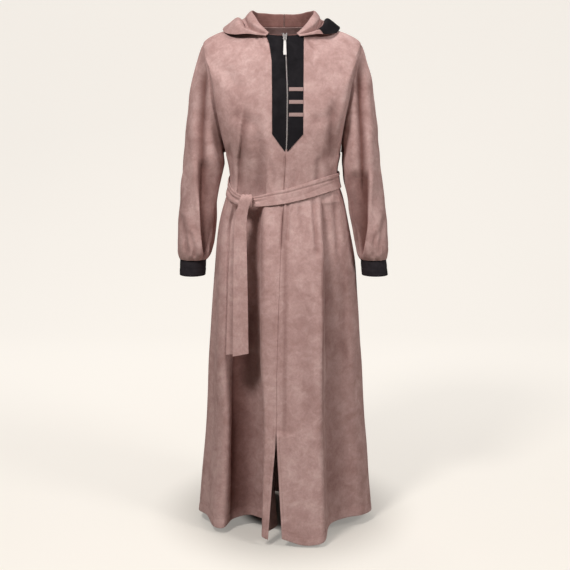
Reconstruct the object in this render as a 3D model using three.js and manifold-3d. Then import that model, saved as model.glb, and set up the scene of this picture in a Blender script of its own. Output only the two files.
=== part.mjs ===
// A hooded abaya in soft suede cloth, worn and belted: hollow body, two gathered sleeves
// with cuffs, a hood lying down, a pointed zip placket and a tied belt with two tails.
// Millimetres, +Z up, the garment faces -Y. The origin is between the shoulders, where the
// neck seam meets the shoulder seams. "Left" and "right" are those of someone facing it.
import * as THREE from 'three';
import { mergeVertices } from 'three/addons/utils/BufferGeometryUtils.js';
import Module from 'manifold-3d';

const wasm = await Module();
wasm.setup();

/* ------------------------------------------------------------------ driving sizes */
const CLOTH = 2; // wall of every cloth piece
const SEAM = 0.3; // space between two pieces at a seam
const TRIM = 1.2; // wall of what is sewn on a panel
const LIFT = 1; // how far a sewn-on piece stands off the panel under it
const ROUNDNESS = 2.3; // superellipse power of a body section
const RIDGE = 1.3; // how softly the cloth rolls over the shoulder
const BELT_WALL = 3;
const BELT_CLEAR = 2.4;
const DEGREE = Math.PI / 180;

const ROSE = { color: 0xa88078, roughness: 0.85, metalness: 0 };
const BLACK = { color: 0x221d20, roughness: 0.8, metalness: 0 };
const METAL = { color: 0xb9b6b2, roughness: 0.3, metalness: 1 };

/** Turns a heading and rows of values into objects with named fields. */
function table(heading, rows) {
  const names = heading.trim().split(/\s+/);
  return rows.map((row) => Object.fromEntries(names.map((name, i) => [name, row[i]])));
}

// Sections of the body from neck to hem. The edge is the shoulder seam down to "shoulder",
// then the armhole, then the side seam from "underarm". armFront and armBack are how far
// forward and back the armhole seam stands; slitLeft and slitRight are the front edges.
const LEVELS = table(
  'name edgeZ frontZ backZ left right front back armFront armBack slitLeft slitRight',
  [
    ['neck', 4, -21, 3, -84, 78, -76, 74, 0, 0, 2, 2],
    ['collar', -3, -58, -28, -128, 119, -90, 96, 0, 0, 4, 4],
    ['yoke', -15, -100, -72, -181, 168, -103, 110, 0, 0, 6, 6],
    ['shoulder', -43, -146, -118, -222, 211, -112, 117, 0, 0, 8, 8],
    ['armholeTop', -88, -182, -160, -211, 201, -118, 120, -40, 42, 8, 8],
    ['armholeHigh', -137, -215, -200, -201, 190, -122, 121, -56, 58, 8, 8],
    ['armholeMid', -190, -250, -240, -192, 180, -124, 120, -62, 64, 8, 8],
    ['armholeLow', -243, -284, -278, -182, 168, -124, 117, -57, 59, 7, 7],
    ['armholeFoot', -298, -320, -316, -171, 160, -122, 112, -38, 42, 6, 6],
    ['underarm', -345, -355, -353, -161, 157, -119, 106, 0, 0, 4, 4],
    ['overBelt', -385, -390, -388, -153, 150, -115, 100, 0, 0, 2, 2],
    ['belt', -425, -430, -428, -151, 152, -113, 98, 0, 0, 0, 0],
    ['underBelt', -470, -475, -472, -163, 167, -118, 105, 0, 0, -1, -1],
    ['hip', -540, -545, -542, -182, 181, -131, 122, 0, 0, -6, -6],
    ['seat', -650, -655, -652, -195, 201, -150, 148, 0, 0, -11, -11],
    ['thigh', -790, -795, -792, -206, 211, -168, 168, 0, 0, -16, -16],
    ['knee', -940, -945, -942, -216, 222, -183, 185, 0, 0, -20, -20],
    ['slitTop', -1085, -1088, -1086, -222, 231, -197, 198, 0, 0, -21, -21],
    ['calf', -1235, -1236, -1235, -235, 243, -212, 208, 0, 0, -33, -14],
    ['hem', -1380, -1380, -1380, -249, 255, -228, 216, 0, 0, -44, -6],
  ],
);
const LEVEL = Object.fromEntries(LEVELS.map((level, i) => [level.name, i]));

// Fold lines of each panel. Their share of the way from the centre to the side is given on
// the chest, at the belt and at the hem, with how deep the fold lies at the belt and the
// hem, how far the hem is raised there, and how far the fold is tucked to the right.
const FOLD_HEADING = 'name chest belt hem beltDepth hemDepth hemRise hemAside';
const FRONT_LEFT_FOLDS = table(FOLD_HEADING, [
  ['frontEdge', 0, 0, 0, 0, 0, -7, 0],
  ['flapCorner', 0.17, 0.33, 0.083, 0, 0, 3, 0],
  ['tuck', 0.28, 0.36, 0.1, 12, 100, 2, 44],
  ['recessWall', 0.36, 0.42, 0.145, 22, 142, 7, 0],
  ['recessMiddle', 0.5, 0.6, 0.275, 30, 154, 8, 0],
  ['recessSide', 0.66, 0.8, 0.498, 18, 112, 5, 0],
  ['bulgeFront', 0.8, 0.87, 0.624, 2, 56, -7, 0],
  ['bulgeSide', 0.91, 0.94, 0.745, 0, 44, -8, 0],
  ['sidePanel', 0.96, 0.98, 0.86, 0, 66, 6, 0],
]);
const FRONT_RIGHT_FOLDS = table(FOLD_HEADING, [
  ['frontEdge', 0, 0, 0, 0, -6, -2, 0],
  ['foldMiddle', 0.22, 0.35, 0.241, 0, -18, -18, 0],
  ['foldCorner', 0.42, 0.566, 0.433, 0, -24, -12, 0],
  ['crease', 0.58, 0.63, 0.52, 6, 62, 7, 0],
  ['sideFront', 0.74, 0.76, 0.705, 3, 82, 9, 0],
  ['sideBack', 0.89, 0.895, 0.881, 0, 64, 5, 0],
]);
const BACK_FOLDS = table(FOLD_HEADING, [
  ['valleyLeft', -0.88, -0.88, -0.88, 3, 20, -6, 0],
  ['ridgeLeft', -0.67, -0.67, -0.68, 0, -12, -13, 0],
  ['valleyMidLeft', -0.44, -0.42, -0.45, 9, 38, -8, 0],
  ['ridgeMidLeft', -0.2, -0.2, -0.21, 0, -10, -18, 0],
  ['valleyCentre', 0.04, 0.03, 0.05, 7, 30, -12, 0],
  ['ridgeMidRight', 0.27, 0.26, 0.3, 0, -14, -18, 0],
  ['valleyMidRight', 0.5, 0.48, 0.52, 10, 40, -8, 0],
  ['ridgeRight', 0.71, 0.7, 0.72, 0, -8, -12, 0],
  ['valleyRight', 0.9, 0.9, 0.9, 3, 18, -6, 0],
]);
const FOLD_GROWTH = 0.6; // folds deepen quickly under the belt, then more slowly
const RISE_GROWTH = 4;
const ASIDE_GROWTH = 2;
const FOLD_START = LEVEL.armholeLow; // the bodice is smooth above this level
const FRONT_STEPS = 2; // columns of the mesh between two fold lines
const BACK_STEPS = 2;

// Sections of a sleeve below the underarm, and of its cuff.
const SLEEVE_HEADING = 'z outer inner front back';
const LEFT_SLEEVE = table(SLEEVE_HEADING, [
  [-374, -281, -166, -72, 70],
  [-418, -286, -176, -72, 66],
  [-474, -290, -186, -73, 60],
  [-530, -295, -190, -75, 55],
  [-582, -297, -195, -77, 50],
  [-609, -297, -201, -75, 44],
  [-626, -295, -208, -70, 36],
  [-637, -292, -216, -62, 26],
]);
const RIGHT_SLEEVE = table(SLEEVE_HEADING, [
  [-374, 268, 162, -72, 70],
  [-418, 275, 167, -72, 66],
  [-474, 281, 177, -73, 60],
  [-530, 287, 188, -75, 55],
  [-582, 291, 198, -77, 50],
  [-609, 292, 204, -75, 44],
  [-626, 290, 208, -70, 36],
  [-637, 288, 213, -62, 26],
]);
const LEFT_CUFF = table(SLEEVE_HEADING, [
  [-637.3, -291, -218, -59, 22],
  [-682, -293, -221, -61, 18],
]);
const RIGHT_CUFF = table(SLEEVE_HEADING, [
  [-637.3, 287, 215, -59, 22],
  [-682, 292, 219, -61, 18],
]);
const CUFF_WALL = 2.6;
const CAP_ROWS = 8; // rows of the mesh from the armhole to the underarm section
const GATHER = { waves: 8, depth: 2.6, z: -620, reach: 34 };
const CAP_FALL = 3.2; // how steeply the sleeve leaves the shoulder seam

// The hood from the front corner of the neck round to the centre of the back: angle from
// the front, height of the roll around the neck, how high the cloth bridges the hollow beside
// it, where it rests on the body (as a level of the body), how wide its pouch is, its rim and
// its turned edge.
const HOOD_HEADING = 'angle seamLift rollOut rollZ overOut overZ bridge restLevel pouch rimLevel '
  + 'rimLift edgeLevel edgeLift';
const HOOD_LEFT = table(HOOD_HEADING, [
  [26, 3.6, 0, -15, 6, -17, 0, 0.2, 1.5, 0.3, 9, 0.38, 9],
  [46, 2, 2, 9, 15, 2, 0, 0.42, 2, 0.6, 17, 0.85, 12],
  [66, 0.7, 3, 31, 19, 18, 2, 0.57, 3, 0.78, 25, 1.38, 13],
  [90, 0.7, 4, 44, 20, 30, 8, 0.64, 5, 0.86, 29, 1.72, 6],
  [114, 0.7, 6, 46, 22, 32, 26, 1.1, 12, 1.12, 37, 1.6, 40],
  [136, 0.7, 8, 43, 22, 32, 18, 2.4, 20, 1.85, 46, 1.45, 56],
  [158, 0.7, 9, 40, 20, 32, 6, 4.3, 25, 2.1, 54, 1.55, 52],
  [180, 0.7, 9, 39, 18, 32, 0, 5, 27, 2.2, 55, 1.6, 50],
]);
const HOOD_RIGHT = table(HOOD_HEADING, [
  [22, 3.6, 0, -17, 6, -19, 0, 0.2, 1.5, 0.3, 9, 0.38, 9],
  [44, 2, 2, 8, 15, 0, 0, 0.42, 2, 0.6, 16, 0.82, 12],
  [66, 0.7, 3, 30, 19, 17, 2, 0.57, 3, 0.8, 24, 1.3, 11],
  [90, 0.7, 4, 44, 20, 29, 8, 0.66, 5, 0.88, 28, 1.64, 6],
  [114, 0.7, 6, 46, 22, 32, 26, 1.1, 12, 1.12, 36, 1.6, 39],
  [136, 0.7, 8, 43, 22, 32, 18, 2.4, 20, 1.85, 46, 1.45, 56],
  [158, 0.7, 9, 40, 20, 32, 6, 4.3, 25, 2.1, 54, 1.55, 52],
  [180, 0.7, 9, 39, 18, 32, 0, 5, 27, 2.2, 55, 1.6, 50],
]);
const HOOD_REST = 6.5; // the hood's visible face over the body where it rests
const BRIDGE_END = 0.3; // how much of the bridge is left where the hood rests
const HOOD_COLUMNS = 14;
const HOOD_STEPS = 2; // rows of the mesh between two lines of the hood
const OVER_LEVEL = 0.5; // the level of the body under the outer side of the roll
const OVER_SHARE = 0.6; // of the way to where the hood rests, where that is short
const FACING_WALL = 1.2;

// The placket in two halves, black, with the zip between them.
const PLACKET = table('z zip left right', [
  [-19, 2, -50, 54],
  [-43, 3.4, -40, 53],
  [-88, 6, -33, 52.5],
  [-180, 9, -32, 52],
  [-284, 8, -32, 51.5],
  [-330, 6, 1.5, 10.5],
]);
const ZIP = { width: 4.4, wall: 1.8, top: -41, bottom: -324 };
const PLACKET_INSET = 2.7; // from the zip's centre to the placket's inner edge
const PLACKET_DROP = 2; // from the neck seam to the placket's top edge
const PLACKET_STEPS = [3, 3, 5, 5, 3]; // rows of the mesh between the rows of the table
const PLACKET_COLUMNS = 6;
const ZIP_ROWS = 16;
const STRIPE = { height: 10, wall: 0.9, pitch: 33.5, top: -160, from: 13, to: 51.5, count: 3 };
// The zip's slider, the bail on its front and the pull tab, which hangs from the bail.
const SLIDER = { z: -27, length: 19, topWidth: 12.6, bottomWidth: 8.4, notch: 5, depth: 4.2 };
const SLIDER_LIFT = 2.6;
const BAIL = { below: 5, width: 2.2, opening: 3, wall: 1.2 };
const LINK = { bar: 1.2, width: 6.4, hole: 4, holeEnd: 6.4, end: 8, neckWidth: 3.2 };
const PULL = { top: 10.6, bottom: 48, topWidth: 6.5, bottomWidth: 8.5, wall: 1.4, tilt: 3 };

// The belt: angle from the front (to the right), height of its middle and its width.
const BELT = table('angle z width', [
  [-36, -468, 27],
  [-24, -466, 29],
  [-14, -461, 34],
  [-3, -455, 38],
  [20, -437, 42],
  [50, -421, 43],
  [90, -415, 42],
  [135, -414, 43],
  [180, -416, 43],
  [225, -420, 43],
  [262, -429, 41],
  [282, -441, 36],
  [304, -458, 30],
]);
const BELT_COLUMNS = 39; // three for each row of the table
const KNOT = { x: -102, y: -118.5, z: -469, width: 34, depth: 18.6, height: 32 };
const TAIL_BOW = 2; // how far the middle of a tail stands forward of its edges
const TAIL_HEADING = 'z left right y';
const FRONT_TAIL = table(TAIL_HEADING, [
  [-446, -114, -88, -115.8],
  [-449, -117, -86, -123.8],
  [-460, -121, -86, -129.8],
  [-486, -127, -96, -130.2],
  [-530, -135, -101, -132.5],
  [-640, -138, -100, -140],
  [-770, -140, -98, -147],
  [-889, -141, -97, -152],
]);
const BACK_TAIL = table(TAIL_HEADING, [
  [-485, -129, -103, -121.3],
  [-530, -144, -110, -126.5],
  [-640, -151, -114, -132],
  [-770, -156, -117, -138],
  [-886, -160, -119, -143],
]);

/* ------------------------------------------------------------------ small helpers */
const vector = (x, y, z) => new THREE.Vector3(x, y, z);
const mix = (a, b, share) => a + (b - a) * share;
const range = (count) => Array.from({ length: count }, (_, i) => i);
const clamp = (value, low, high) => Math.min(high, Math.max(low, value));

/** Evenly spaced values from one number to another, both included. */
const spread = (from, to, steps) => range(steps + 1).map((i) => mix(from, to, i / steps));

/** A smooth value between four neighbouring ones. */
function smooth(a, b, c, d, t) {
  const rise = (c - a) / 2;
  const nextRise = (d - b) / 2;
  return (
    b + rise * t + (3 * (c - b) - 2 * rise - nextRise) * t * t
    + (2 * (b - c) + rise + nextRise) * t * t * t
  );
}

/** Reads a table at a fractional row, all number columns smoothly. */
function between(rows, position) {
  const i = clamp(Math.floor(position), 0, rows.length - 2);
  const pick = (k) => rows[clamp(k, 0, rows.length - 1)];
  const row = {};
  for (const name of Object.keys(rows[0]).filter((key) => key !== 'name')) {
    row[name] = smooth(
      pick(i - 1)[name], pick(i)[name], pick(i + 1)[name], pick(i + 2)[name], position - i,
    );
  }
  return row;
}

/** Points on a smooth curve through some points, with the same number of steps in each span. */
function through(points, closed, steps) {
  const curve = new THREE.CatmullRomCurve3(points, closed, 'centripetal');
  const spans = closed ? points.length : points.length - 1;
  return range(spans * steps + (closed ? 0 : 1)).map((i) => curve.getPoint(i / (spans * steps)));
}

/** Outward normals of a grid of points whose columns run round and whose rows run down. */
function normalsOf(grid, loop = false) {
  const last = grid[0].length - 1;
  return grid.map((row, i) => row.map((_, j) => {
    const before = loop ? (j + last) % (last + 1) : Math.max(j - 1, 0);
    const after = loop ? (j + 1) % (last + 1) : Math.min(j + 1, last);
    const across = row[after].clone().sub(row[before]);
    const above = grid[Math.max(i - 1, 0)][j];
    const below = grid[Math.min(i + 1, grid.length - 1)][j];
    return across.cross(below.clone().sub(above)).normalize();
  }));
}

/** Every point of a grid moved along its normal. */
const moved = (grid, normals, distance) => grid.map((row, i) => row.map(
  (point, j) => point.clone().addScaledVector(normals[i][j], distance),
));

/** A closed wall between an outer and an inner grid of points. */
function wall(outer, inner, loop = false) {
  const rows = outer.length;
  const columns = outer[0].length;
  const points = [...outer.flat(), ...inner.flat()];
  const out = (i, j) => i * columns + (j % columns);
  const back = (i, j) => rows * columns + out(i, j);
  const faces = [];
  const quad = (a, b, c, d) => faces.push(a, b, c, a, c, d);
  for (const j of range(loop ? columns : columns - 1)) {
    for (const i of range(rows - 1)) {
      quad(out(i, j), out(i, j + 1), out(i + 1, j + 1), out(i + 1, j));
      quad(back(i, j), back(i + 1, j), back(i + 1, j + 1), back(i, j + 1));
    }
    quad(out(0, j), back(0, j), back(0, j + 1), out(0, j + 1));
    quad(out(rows - 1, j), out(rows - 1, j + 1), back(rows - 1, j + 1), back(rows - 1, j));
  }
  if (!loop) {
    for (const i of range(rows - 1)) {
      quad(out(i, 0), out(i + 1, 0), back(i + 1, 0), back(i, 0));
      quad(
        out(i, columns - 1), back(i, columns - 1),
        back(i + 1, columns - 1), out(i + 1, columns - 1),
      );
    }
  }
  const geometry = new THREE.BufferGeometry();
  geometry.setAttribute(
    'position', new THREE.Float32BufferAttribute(points.flatMap((p) => p.toArray()), 3),
  );
  geometry.setIndex(faces);
  geometry.computeVertexNormals();
  return geometry;
}

/** A wall whose visible face is the grid and whose thickness goes behind it. */
function sheet(grid, thickness, loop = false) {
  return wall(grid, moved(grid, normalsOf(grid, loop), -thickness), loop);
}

/* ------------------------------------------------------------------ the body's form */
/** Height and depth of a plain section at a share of the way out to its edge. */
function sectionDepth(share) {
  return (1 - Math.abs(share) ** ROUNDNESS) ** (1 / ROUNDNESS);
}

/** How open the armhole is at a level: its seam leaves the shoulder and ends underarm. */
function inArmhole(position) {
  return position > LEVEL.shoulder && position < LEVEL.underarm;
}

/** A fold line's share of the width at a level, with its depth, its rise and its tuck. */
function foldAt(fold, position, level) {
  if (position < LEVEL.underBelt) {
    const near = clamp((position - FOLD_START) / (LEVEL.underBelt - FOLD_START), 0, 1);
    const depth = fold.beltDepth * near ** 2;
    return { share: mix(fold.chest, fold.belt, near), depth, rise: 0, aside: 0 };
  }
  const from = LEVELS[LEVEL.underBelt].edgeZ;
  const drop = clamp((from - level.edgeZ) / (from - LEVELS[LEVEL.hem].edgeZ), 0, 1);
  return {
    share: mix(fold.belt, fold.hem, drop),
    depth: mix(fold.beltDepth, fold.hemDepth, drop ** FOLD_GROWTH),
    rise: fold.hemRise * drop ** RISE_GROWTH,
    aside: fold.hemAside * drop ** ASIDE_GROWTH,
  };
}

/** One point of the body: half is 'front' or 'back', share runs from the centre to an edge. */
function bodyPoint(level, half, share, inward = 0, rise = 0) {
  const front = half === 'front';
  const leftward = Object.is(share, -0) || share < 0;
  const middle = front
    ? (leftward ? level.slitLeft : level.slitRight)
    : (level.left + level.right) / 2;
  const edge = share < 0 ? level.left : level.right;
  const armhole = front ? level.armFront : level.armBack;
  const depth = sectionDepth(share);
  return vector(
    mix(middle, edge, Math.abs(share)),
    mix(armhole, front ? level.front : level.back, depth) + (front ? inward : -inward),
    mix(level.edgeZ, front ? level.frontZ : level.backZ, depth ** RIDGE) + rise,
  );
}

/** The level at a fractional position, with its armhole closed above and below it. */
function levelAt(position) {
  const level = between(LEVELS, position);
  if (!inArmhole(position)) {
    level.armFront = 0;
    level.armBack = 0;
  }
  if (position <= LEVEL.slitTop) level.slitRight = level.slitLeft;
  return level;
}

/** One section of the body as three rows of points: left front, back and right front. */
function section(position) {
  const level = levelAt(position);
  const place = (half, side) => (fold) => {
    const at = foldAt(fold, position, level);
    return bodyPoint(level, half, at.share * side, at.depth, at.rise).setX(
      bodyPoint(level, half, at.share * side).x + at.aside,
    );
  };
  const left = FRONT_LEFT_FOLDS.map(place('front', -1));
  const right = FRONT_RIGHT_FOLDS.map(place('front', 1)).reverse();
  const back = BACK_FOLDS.map(place('back', 1));
  const edge = (half, side) => bodyPoint(level, half, side);
  if (inArmhole(position)) {
    const front = through(
      [edge('front', 1), ...right.slice(0, -1), ...left, edge('front', -1)], false, FRONT_STEPS,
    );
    const turn = right.length * FRONT_STEPS;
    return {
      left: front.slice(turn),
      back: through([edge('back', -1), ...back, edge('back', 1)], false, BACK_STEPS),
      right: front.slice(0, turn + 1),
    };
  }
  const slit = position > LEVEL.slitTop;
  const ring = through(
    [...left, edge('front', -1), ...back, edge('front', 1), ...(slit ? right : right.slice(0, -1))],
    !slit, FRONT_STEPS,
  );
  if (!slit) ring.push(ring[0]);
  const leftEnd = left.length * FRONT_STEPS;
  const rightStart = leftEnd + (back.length + 1) * BACK_STEPS;
  return {
    left: ring.slice(0, leftEnd + 1),
    back: ring.slice(leftEnd, rightStart + 1),
    right: ring.slice(rightStart),
  };
}

const POSITIONS = [
  ...spread(LEVEL.neck, LEVEL.shoulder, 6),
  ...spread(LEVEL.shoulder, LEVEL.underarm, 12).slice(1),
  ...spread(LEVEL.underarm, LEVEL.hip, 4).slice(1),
  ...spread(LEVEL.hip, LEVEL.hem, 12).slice(1),
];
const SECTIONS = POSITIONS.map(section);
const GRID = Object.fromEntries(['left', 'back', 'right'].map(
  (panel) => [panel, SECTIONS.map((rows) => rows[panel])],
));
const NORMAL = Object.fromEntries(['left', 'back', 'right'].map(
  (panel) => [panel, normalsOf(GRID[panel])],
));

/** Gives both sides of a seam the same normal, and draws them half a seam apart. */
function joinSeam(panel, column, other, otherColumn, isSewn) {
  POSITIONS.forEach((position, i) => {
    if (!isSewn(position)) return;
    const shared = NORMAL[panel][i][column].clone().add(NORMAL[other][i][otherColumn]).normalize();
    NORMAL[panel][i][column] = shared;
    NORMAL[other][i][otherColumn] = shared;
    const run = GRID[panel][Math.min(i + 1, POSITIONS.length - 1)][column].clone()
      .sub(GRID[panel][Math.max(i - 1, 0)][column]);
    const aside = shared.clone().cross(run).normalize().multiplyScalar(SEAM / 2);
    const seam = GRID[panel][i][column];
    SEAM_POINTS.push({ panel, i, column, point: seam.clone().add(aside) });
    SEAM_POINTS.push({ panel: other, i, column: otherColumn, point: seam.clone().sub(aside) });
  });
}
const SEAM_POINTS = [];
const LAST = { left: GRID.left[0].length - 1, back: GRID.back[0].length - 1 };
LAST.right = GRID.right[0].length - 1;
joinSeam('left', LAST.left, 'back', 0, (position) => !inArmhole(position));
joinSeam('back', LAST.back, 'right', 0, (position) => !inArmhole(position));
joinSeam('right', LAST.right, 'left', 0, (position) => position <= LEVEL.slitTop);
const ARMHOLE_GRID = Object.fromEntries(
  Object.entries(GRID).map(([panel, rows]) => [panel, rows.map((row) => [...row])]),
);
for (const { panel, i, column, point } of SEAM_POINTS) GRID[panel][i][column] = point;

/** A body panel as a closed wall. */
function bodyPanel(panel) {
  return wall(GRID[panel], moved(GRID[panel], NORMAL[panel], -CLOTH));
}

/** The point and normal of the plain body, without folds, at an angle from the front. */
function bodyAt(position, angle) {
  const at = (level, turn) => {
    const half = Math.cos(turn * DEGREE) >= 0 ? 'front' : 'back';
    const sine = Math.sin(turn * DEGREE);
    return bodyPoint(level, half, Math.sign(sine) * Math.abs(sine) ** (2 / ROUNDNESS));
  };
  const step = 0.02;
  const level = levelAt(position);
  const next = levelAt(position + step);
  const point = at(level, angle);
  const round = at(level, angle - 1).sub(at(level, angle + 1));
  const down = at(next, angle).sub(point);
  return { point, normal: round.cross(down).normalize() };
}

/** The point and normal of the front panels seen from the front at x and z. */
function onFront(x, z) {
  for (const panel of ['left', 'right']) {
    const grid = GRID[panel];
    for (const i of range(POSITIONS.length - 1)) {
      for (const j of range(grid[0].length - 1)) {
        const corners = [[i, j], [i, j + 1], [i + 1, j + 1], [i + 1, j]];
        for (const pick of [[0, 1, 2], [0, 2, 3]]) {
          const [a, b, c] = pick.map((k) => grid[corners[k][0]][corners[k][1]]);
          const area = (b.x - a.x) * (c.z - a.z) - (c.x - a.x) * (b.z - a.z);
          const u = ((b.x - x) * (c.z - z) - (c.x - x) * (b.z - z)) / area;
          const v = ((c.x - x) * (a.z - z) - (a.x - x) * (c.z - z)) / area;
          const slack = 0.02;
          if (u < -slack || v < -slack || u + v > 1 + slack) continue;
          const shares = [u, v, 1 - u - v];
          const point = vector(0, 0, 0);
          const normal = vector(0, 0, 0);
          pick.forEach((k, n) => {
            const [row, column] = corners[k];
            point.addScaledVector(grid[row][column], shares[n]);
            normal.addScaledVector(NORMAL[panel][row][column], shares[n]);
          });
          return { point, normal: normal.normalize() };
        }
      }
    }
  }
  throw new Error(`the front has no point at ${x}, ${z}`);
}

/** A piece sewn on the front: rows of x and z, moved out by its lift and its wall. */
function sewnOn(rows, lift, thickness) {
  const found = rows.map((row) => row.map(([x, z]) => onFront(x, z)));
  const place = (distance) => found.map(
    (row) => row.map(({ point, normal }) => point.clone().addScaledVector(normal, distance)),
  );
  return wall(place(lift + thickness), place(lift));
}

/* ------------------------------------------------------------------ sleeves and cuffs */
/** One ring of a sleeve or cuff: columns start on the outer side and go round. */
function tubeRing(row, columns, side, swell = 0) {
  const halfWidth = (row.outer - row.inner) / 2;
  const halfDepth = (row.back - row.front) / 2;
  return range(columns).map((k) => {
    const turn = (k / columns) * 2 * Math.PI;
    const depth = 1 + (swell * Math.cos(GATHER.waves * turn)) / Math.abs(halfWidth);
    return vector(
      (row.outer + row.inner) / 2 + halfWidth * Math.cos(turn) * depth,
      (row.back + row.front) / 2 - side * halfDepth * Math.sin(turn) * depth,
      row.z,
    );
  });
}

/** The edge of the armhole as a loop from the shoulder, with the body's normal and inner edge. */
function armhole(side) {
  const front = side < 0 ? ['left', LAST.left] : ['right', 0];
  const back = side < 0 ? ['back', 0] : ['back', LAST.back];
  const [first, second] = side > 0 ? [front, back] : [back, front];
  const start = POSITIONS.indexOf(LEVEL.shoulder);
  const end = POSITIONS.indexOf(LEVEL.underarm);
  const stops = [
    ...range(end - start).map((i) => [first, start + i]),
    ...range(end - start).map((i) => [second, end - i]),
  ];
  return stops.map(([[panel, column], i]) => {
    const seam = ARMHOLE_GRID[panel][i][column];
    const inside = ARMHOLE_GRID[panel][i][column === 0 ? 1 : column - 1];
    const top = i === start;
    const away = top
      ? seam.clone().sub(ARMHOLE_GRID[panel][i - 1][column]).normalize()
      : seam.clone().sub(inside).normalize();
    return { seam, away, normal: NORMAL[panel][i][column], low: (i - start) / (end - start) };
  });
}

/** A sleeve from its armhole to the gathers over the cuff. */
function sleeve(side, rows) {
  const loop = armhole(side);
  const columns = loop.length;
  const under = tubeRing(rows[0], columns, side);
  const starts = loop.map(({ seam, away, normal, low }) => {
    const gap = away.clone().multiplyScalar(1 - low).addScaledVector(normal, low).normalize();
    return seam.clone().addScaledVector(gap, SEAM * 1.4);
  });
  const cap = spread(0, 1, CAP_ROWS).map((t) => starts.map((start, k) => {
    const end = under[k];
    const low = loop[k].low;
    const reach = start.distanceTo(end);
    const lean = vector(side, 0, mix(-CAP_FALL, -0.1, low)).normalize();
    lean.addScaledVector(loop[k].away.clone().setZ(0), 0.2 * (1 - low)).normalize();
    const leave = start.clone().addScaledVector(lean, Math.max(reach * 0.22, 5));
    const arrive = end.clone().add(vector(-side * reach * 0.03, 0, reach * 0.38));
    return new THREE.CubicBezierCurve3(start, leave, arrive, end).getPoint(t);
  }));
  const tube = rows.slice(1).map((row) => {
    const swell = GATHER.depth * Math.exp(-(((row.z - GATHER.z) / GATHER.reach) ** 2));
    return tubeRing(row, columns, side, swell);
  });
  const outer = [...cap, ...tube];
  const normals = normalsOf(outer, true);
  normals[0] = normals[0].map(
    (own, k) => own.clone().multiplyScalar(loop[k].low)
      .addScaledVector(loop[k].normal, 1 - loop[k].low).normalize(),
  );
  return wall(outer, moved(outer, normals, -CLOTH), true);
}

/** A cuff, plain and open at both ends. */
function cuff(side, rows) {
  const columns = 24;
  const rings = spread(0, rows.length - 1, 2).map((at) => tubeRing(between(rows, at), columns, side));
  return sheet(rings, CUFF_WALL, true);
}

/* ------------------------------------------------------------------ the hood */
/** The hood's lines at one angle, from the neck seam over the roll to the turned edge. */
function hoodLines(row, side) {
  const angle = row.angle * side;
  const neck = bodyAt(0, angle);
  const outward = neck.point.clone().setZ(0).normalize();
  const seam = neck.point.clone().add(vector(0, 0, row.seamLift)).addScaledVector(outward, 0.4);
  const roll = neck.point.clone().addScaledVector(outward, row.rollOut).setZ(row.rollZ);
  const over = neck.point.clone().addScaledVector(outward, row.overOut).setZ(row.overZ);
  const on = (position, lift) => {
    const { point, normal } = bodyAt(position, angle);
    return point.clone().addScaledVector(normal, lift);
  };
  const from = Math.min(OVER_LEVEL, row.restLevel * OVER_SHARE);
  const slope = [0.4, 0.7].map(
    (share) => on(mix(from, row.restLevel, share), HOOD_REST + row.bridge),
  );
  const lift = HOOD_REST + BRIDGE_END * row.bridge;
  const rest = on(row.restLevel, lift);
  const pouch = on(row.restLevel, lift + row.pouch);
  const rim = on(row.rimLevel, row.rimLift);
  const edge = on(row.edgeLevel, row.edgeLift);
  return [seam, roll, over, ...slope, rest, pouch, rim, edge];
}

/** A grid turned over so that its normals point the other way. */
const flipped = (grid) => grid.map((row) => [...row].reverse());

/** The visible face of one half of the hood; its last row lies at the seam down its back. */
function hoodFace(side, table) {
  const rows = spread(0, table.length - 1, HOOD_COLUMNS).map(
    (at) => through(hoodLines(between(table, at), side), false, HOOD_STEPS),
  );
  rows.at(-1).forEach((point) => point.setX((side * SEAM) / 2));
  const grid = side < 0 ? flipped(rows) : rows;
  const normals = normalsOf(grid);
  normals.at(-1).forEach((normal) => normal.setX(0).normalize());
  return { grid, normals, side };
}

const HOOD = { left: hoodFace(-1, HOOD_LEFT), right: hoodFace(1, HOOD_RIGHT) };

/** One half of the hood. */
function hoodHalf({ grid, normals }) {
  return wall(grid, moved(grid, normals, -CLOTH));
}

/** A black facing along the hood's edge, between two rows, on its upper or its under side. */
function hoodFacing(half, from, to, steps, under) {
  const part = (rows) => rows.slice(from, to + 1).map(
    (row) => (half.side < 0 ? row.slice(0, steps + 1) : row.slice(-steps - 1)),
  );
  const grid = part(half.grid);
  const normals = part(half.normals);
  const outer = under ? -CLOTH - SEAM : SEAM + FACING_WALL;
  return wall(moved(grid, normals, outer), moved(grid, normals, outer - FACING_WALL));
}

/* ------------------------------------------------------------------ placket, zip and belt */
/** Rows of points across the front between two x edges worked out for each height. */
function across(top, bottom, steps, columns, edges) {
  return spread(top, bottom, steps).map((z) => {
    const [from, to] = edges(z);
    return spread(from, to, columns).map((x) => [x, z]);
  });
}

/** The placket's table at a height, straight from row to row. */
function placketAt(z) {
  const below = Math.max(PLACKET.findIndex((row) => row.z <= z), 1);
  const [upper, lower] = [PLACKET[below - 1], PLACKET[below]];
  const share = (upper.z - z) / (upper.z - lower.z);
  const read = (name) => mix(upper[name], lower[name], share);
  return { z, zip: read('zip'), left: read('left'), right: read('right') };
}

/** The height of the neck edge at x, a little below the seam. */
function neckEdge(x) {
  const share = clamp(Math.abs(x - 2) / 82, 0, 1);
  const level = LEVELS[LEVEL.neck];
  return mix(level.edgeZ, level.frontZ, sectionDepth(share) ** RIDGE);
}

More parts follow.
